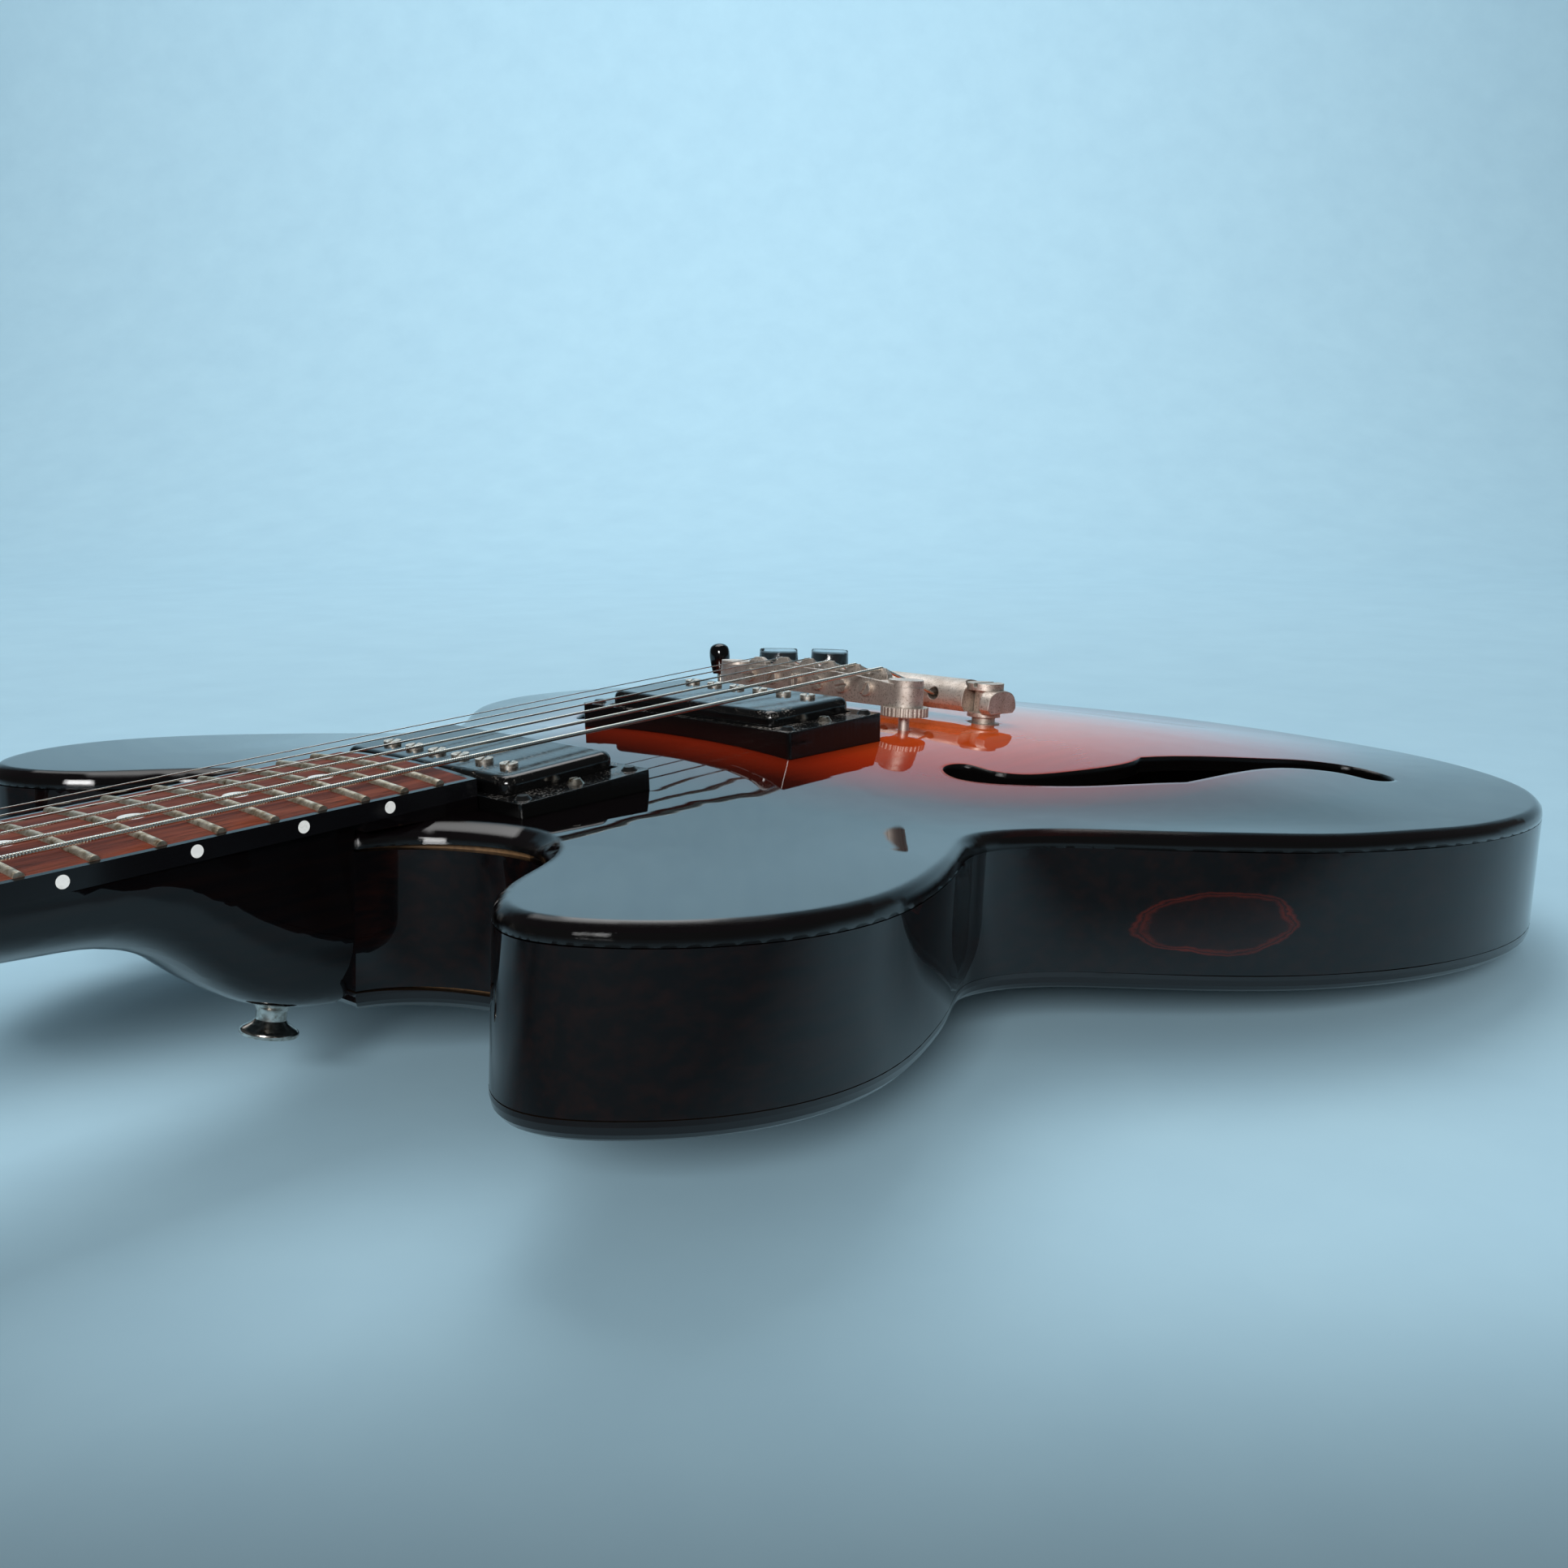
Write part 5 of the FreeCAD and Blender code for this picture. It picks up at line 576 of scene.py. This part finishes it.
tip_finish, tree, shader = new_finish("black_switch_tip")
coordinates = add_node(tree, "TexCoord").outputs["Object"]
smear = add_node(tree, "TexNoise", {"Scale": 1 / (3 * mm), "Detail": 4.0}, {"Vector": coordinates})
worn = add_node(tree, "MapRange", {"To Min": 0.05, "To Max": 0.14}, {"Value": smear.outputs["Fac"]})
tree.links.new(worn.outputs["Result"], shader.inputs["Roughness"])
shader.inputs["Base Color"].default_value = linear("#060607")
arm = turned_piece("switch_lever", [(1.3, -7.4), (1.3, 9.2)], 24)
arm.data.materials.append(screw_finish)
tip = turned_piece("switch_tip", [
    (2.7, 8.5), (2.95, 8.7), (3.2, 9.8), (3.55, 11.7), (3.85, 13.7), (4.0, 15.4), (3.97, 17.0),
    (3.75, 18.3), (3.3, 19.2), (2.5, 19.9), (1.5, 20.3), (0.5, 20.48),
])
tip.data.materials.append(tip_finish)
seat(joined(arm, tip), standing((53.0, 89.0, 10.34), (-0.01041, 0.10066, 0.99487)), "selector",
     "toggle_lever")


# Strap buttons: turned steel buttons with a flared rim, nickel plated, held by a wood
# screw each in the heel and in the tail end of the centre block.
button_finish = polished_steel("nickel_strap_buttons", "#cfccc6", 0.18)
heel_button = turned_piece("heel_strap_button", [
    (5.5, 0.0), (5.4, 0.7), (4.3, 2.2), (3.8, 3.2), (3.8, 5.4), (4.6, 6.4), (6.4, 7.5), (7.1, 8.0),
    (7.25, 8.4), (7.25, 8.9), (7.0, 9.35), (6.6, 9.5), (4.2, 9.4), (3.7, 8.7), (3.4, 8.6), (3.2, 8.9),
    (2.3, 9.3), (0.5, 9.45),
])
tail_button = heel_button.copy()
tail_button.data = heel_button.data.copy()
tail_button.name = "tail_strap_button"
bpy.context.collection.objects.link(tail_button)
seat(heel_button, standing((-204.91, 0.0, -45.416), (-0.14638, 0.0, -0.98923)), "instrument",
     "strap_buttons", button_finish)
seat(tail_button, standing((259.9, 0.0, -22.25), (1.0, 0.0, 0.0)), "instrument", "strap_buttons",
     button_finish)


# Photographer's sweep: one sheet of pale blue paper, flat under the guitar and curved up
# behind it. One soft lamp hangs over the sheet behind the guitar, one stands low beside
# the camera and one lights the wall; the photographer's shadow on the near end is painted
# into the paper's colour.
view_centre = lie @ Vector((-0.4224, -0.3472, 0.07456))
view_right = Vector((0.64963, -0.7589, 0.04535))
view_up = Vector((0.08655, 0.13309, 0.98732))
view_ahead = Vector((0.75531, 0.63746, -0.15214))
turned = Matrix((view_right, view_up, -view_ahead)).transposed().to_4x4()
bpy.ops.object.camera_add()
camera = bpy.context.object
camera.name = "photo_camera"
camera.matrix_world = Matrix.Translation(view_centre) @ lie.to_3x3().to_4x4() @ turned
camera.data.sensor_width = 36.0
camera.data.lens = 37.08
camera.data.clip_start = 0.01
bpy.context.scene.camera = camera

toward_wall = Vector((0.764, 0.645, 0))
paper_finish, tree, shader = new_finish("pale_blue_paper")
coordinates = add_node(tree, "TexCoord").outputs["Object"]
fibre = add_node(tree, "TexNoise", {"Scale": 1 / (60 * mm), "Detail": 8.0, "Roughness": 0.6},
                 {"Vector": coordinates})
blue = add_node(tree, "ValToRGB", links={"Fac": fibre.outputs["Fac"]},
                stops=[(0.3, "#a6c9da"), (0.7, "#abcede")])
# Painted shadow: the paper's colour darkens towards the camera for the photographer's shadow.
ahead = add_node(tree, "VectorMath", {1: toward_wall}, {0: coordinates}, operation="DOT_PRODUCT")
near = add_node(tree, "MapRange", {"From Min": -0.17, "From Max": 0.0, "To Min": 0.25, "To Max": 1.0},
                {"Value": ahead.outputs["Value"]}, interpolation_type="SMOOTHSTEP")
shaded = add_node(tree, "VectorMath", links={0: blue.outputs["Color"], "Scale": near.outputs["Result"]},
                  operation="SCALE")
tree.links.new(shaded.outputs[0], shader.inputs["Base Color"])
shader.inputs["Roughness"].default_value = 0.9
shader.inputs["Specular IOR Level"].default_value = 0.2
floor_length, floor_width, bend_radius, wall_height = 3.4, 7.0, 1.3, 2.6
bpy.ops.object.select_all(action="DESELECT")
bpy.ops.mesh.primitive_plane_add(size=1.0, location=(0, 0, 0))
sweep = bpy.context.object
sweep.name = "paper_sweep"
sweep.scale = (floor_length, floor_width, 1)
bpy.ops.object.transform_apply(location=True, rotation=True, scale=True)
bpy.ops.object.mode_set(mode="EDIT")
mesh = bmesh.from_edit_mesh(sweep.data)
for part in (mesh.verts, mesh.edges, mesh.faces):
    for element in part:
        element.select_set(False)
mesh.select_mode = {"EDGE"}
for edge in mesh.edges:
    edge.select_set(all(corner.co.x > 0 for corner in edge.verts))
bmesh.update_edit_mesh(sweep.data)
bpy.ops.mesh.select_mode(type="EDGE")
bpy.ops.mesh.spin(steps=24, angle=math.radians(84), center=(floor_length / 2, 0, bend_radius),
                  axis=(0, 1, 0))
bpy.ops.mesh.extrude_region_move(TRANSFORM_OT_translate={"value": (0.25, 0, wall_height)})
bpy.ops.object.mode_set(mode="OBJECT")
bpy.ops.object.shade_smooth()
sweep.data.materials.append(paper_finish)
sweep.rotation_euler = (0, 0, math.atan2(toward_wall.y, toward_wall.x))
bpy.ops.object.transform_apply(location=True, rotation=True, scale=True)

world = bpy.data.worlds.new("studio_air")
bpy.context.scene.world = world
world.use_nodes = True
tree = world.node_tree
tree.nodes.clear()
path = add_node(tree, "LightPath")
seen = add_node(tree, "Math",
                links={0: path.outputs["Is Camera Ray"], 1: path.outputs["Is Transmission Ray"]},
                operation="MAXIMUM").outputs[0]
around = add_node(tree, "Background", {"Color": linear("#eef4f7"), "Strength": 0.4})
room = add_node(tree, "Background", {"Color": linear("#e6eef2"), "Strength": 0.08})
behind = add_node(tree, "Background", {"Color": linear("#b7dff0"), "Strength": 1.0})
mirrored = add_node(tree, "MixShader",
                    links={0: path.outputs["Is Glossy Ray"], 1: around.outputs[0], 2: room.outputs[0]})
mixed = add_node(tree, "MixShader", links={0: seen, 1: mirrored.outputs[0], 2: behind.outputs[0]})
add_node(tree, "OutputWorld", links={"Surface": mixed.outputs[0]})

# Each lamp: where it stands, what it points at, its length and width, all in metres, and watts.
lamps = [
    ("overhead_softbox", (0.8, 0.65, 1.75), (0.8, 0.65, 0.0), (1.7, 1.3), 21.0),
    ("front_softbox", (-1.1, -0.9, 0.7), (0.15, 0.0, 0.05), (0.5, 0.35), 20.0),
    ("backdrop_softbox", (1.3, 1.1, 1.9), (2.3, 1.95, 1.2), (3.0, 0.8), 24.0),
]
for name, place, target, (length, width), power in lamps:
    bpy.ops.object.light_add(type="AREA", location=place)
    lamp = bpy.context.object
    lamp.name = name
    lamp.data.shape = "RECTANGLE"
    lamp.data.size = length
    lamp.data.size_y = width
    lamp.data.energy = power
    aim = Vector(target) - lamp.location
    lamp.rotation_euler = aim.to_track_quat("-Z", "Y").to_euler()

bpy.context.scene.view_settings.view_transform = "Standard"
bpy.context.view_layer.update()
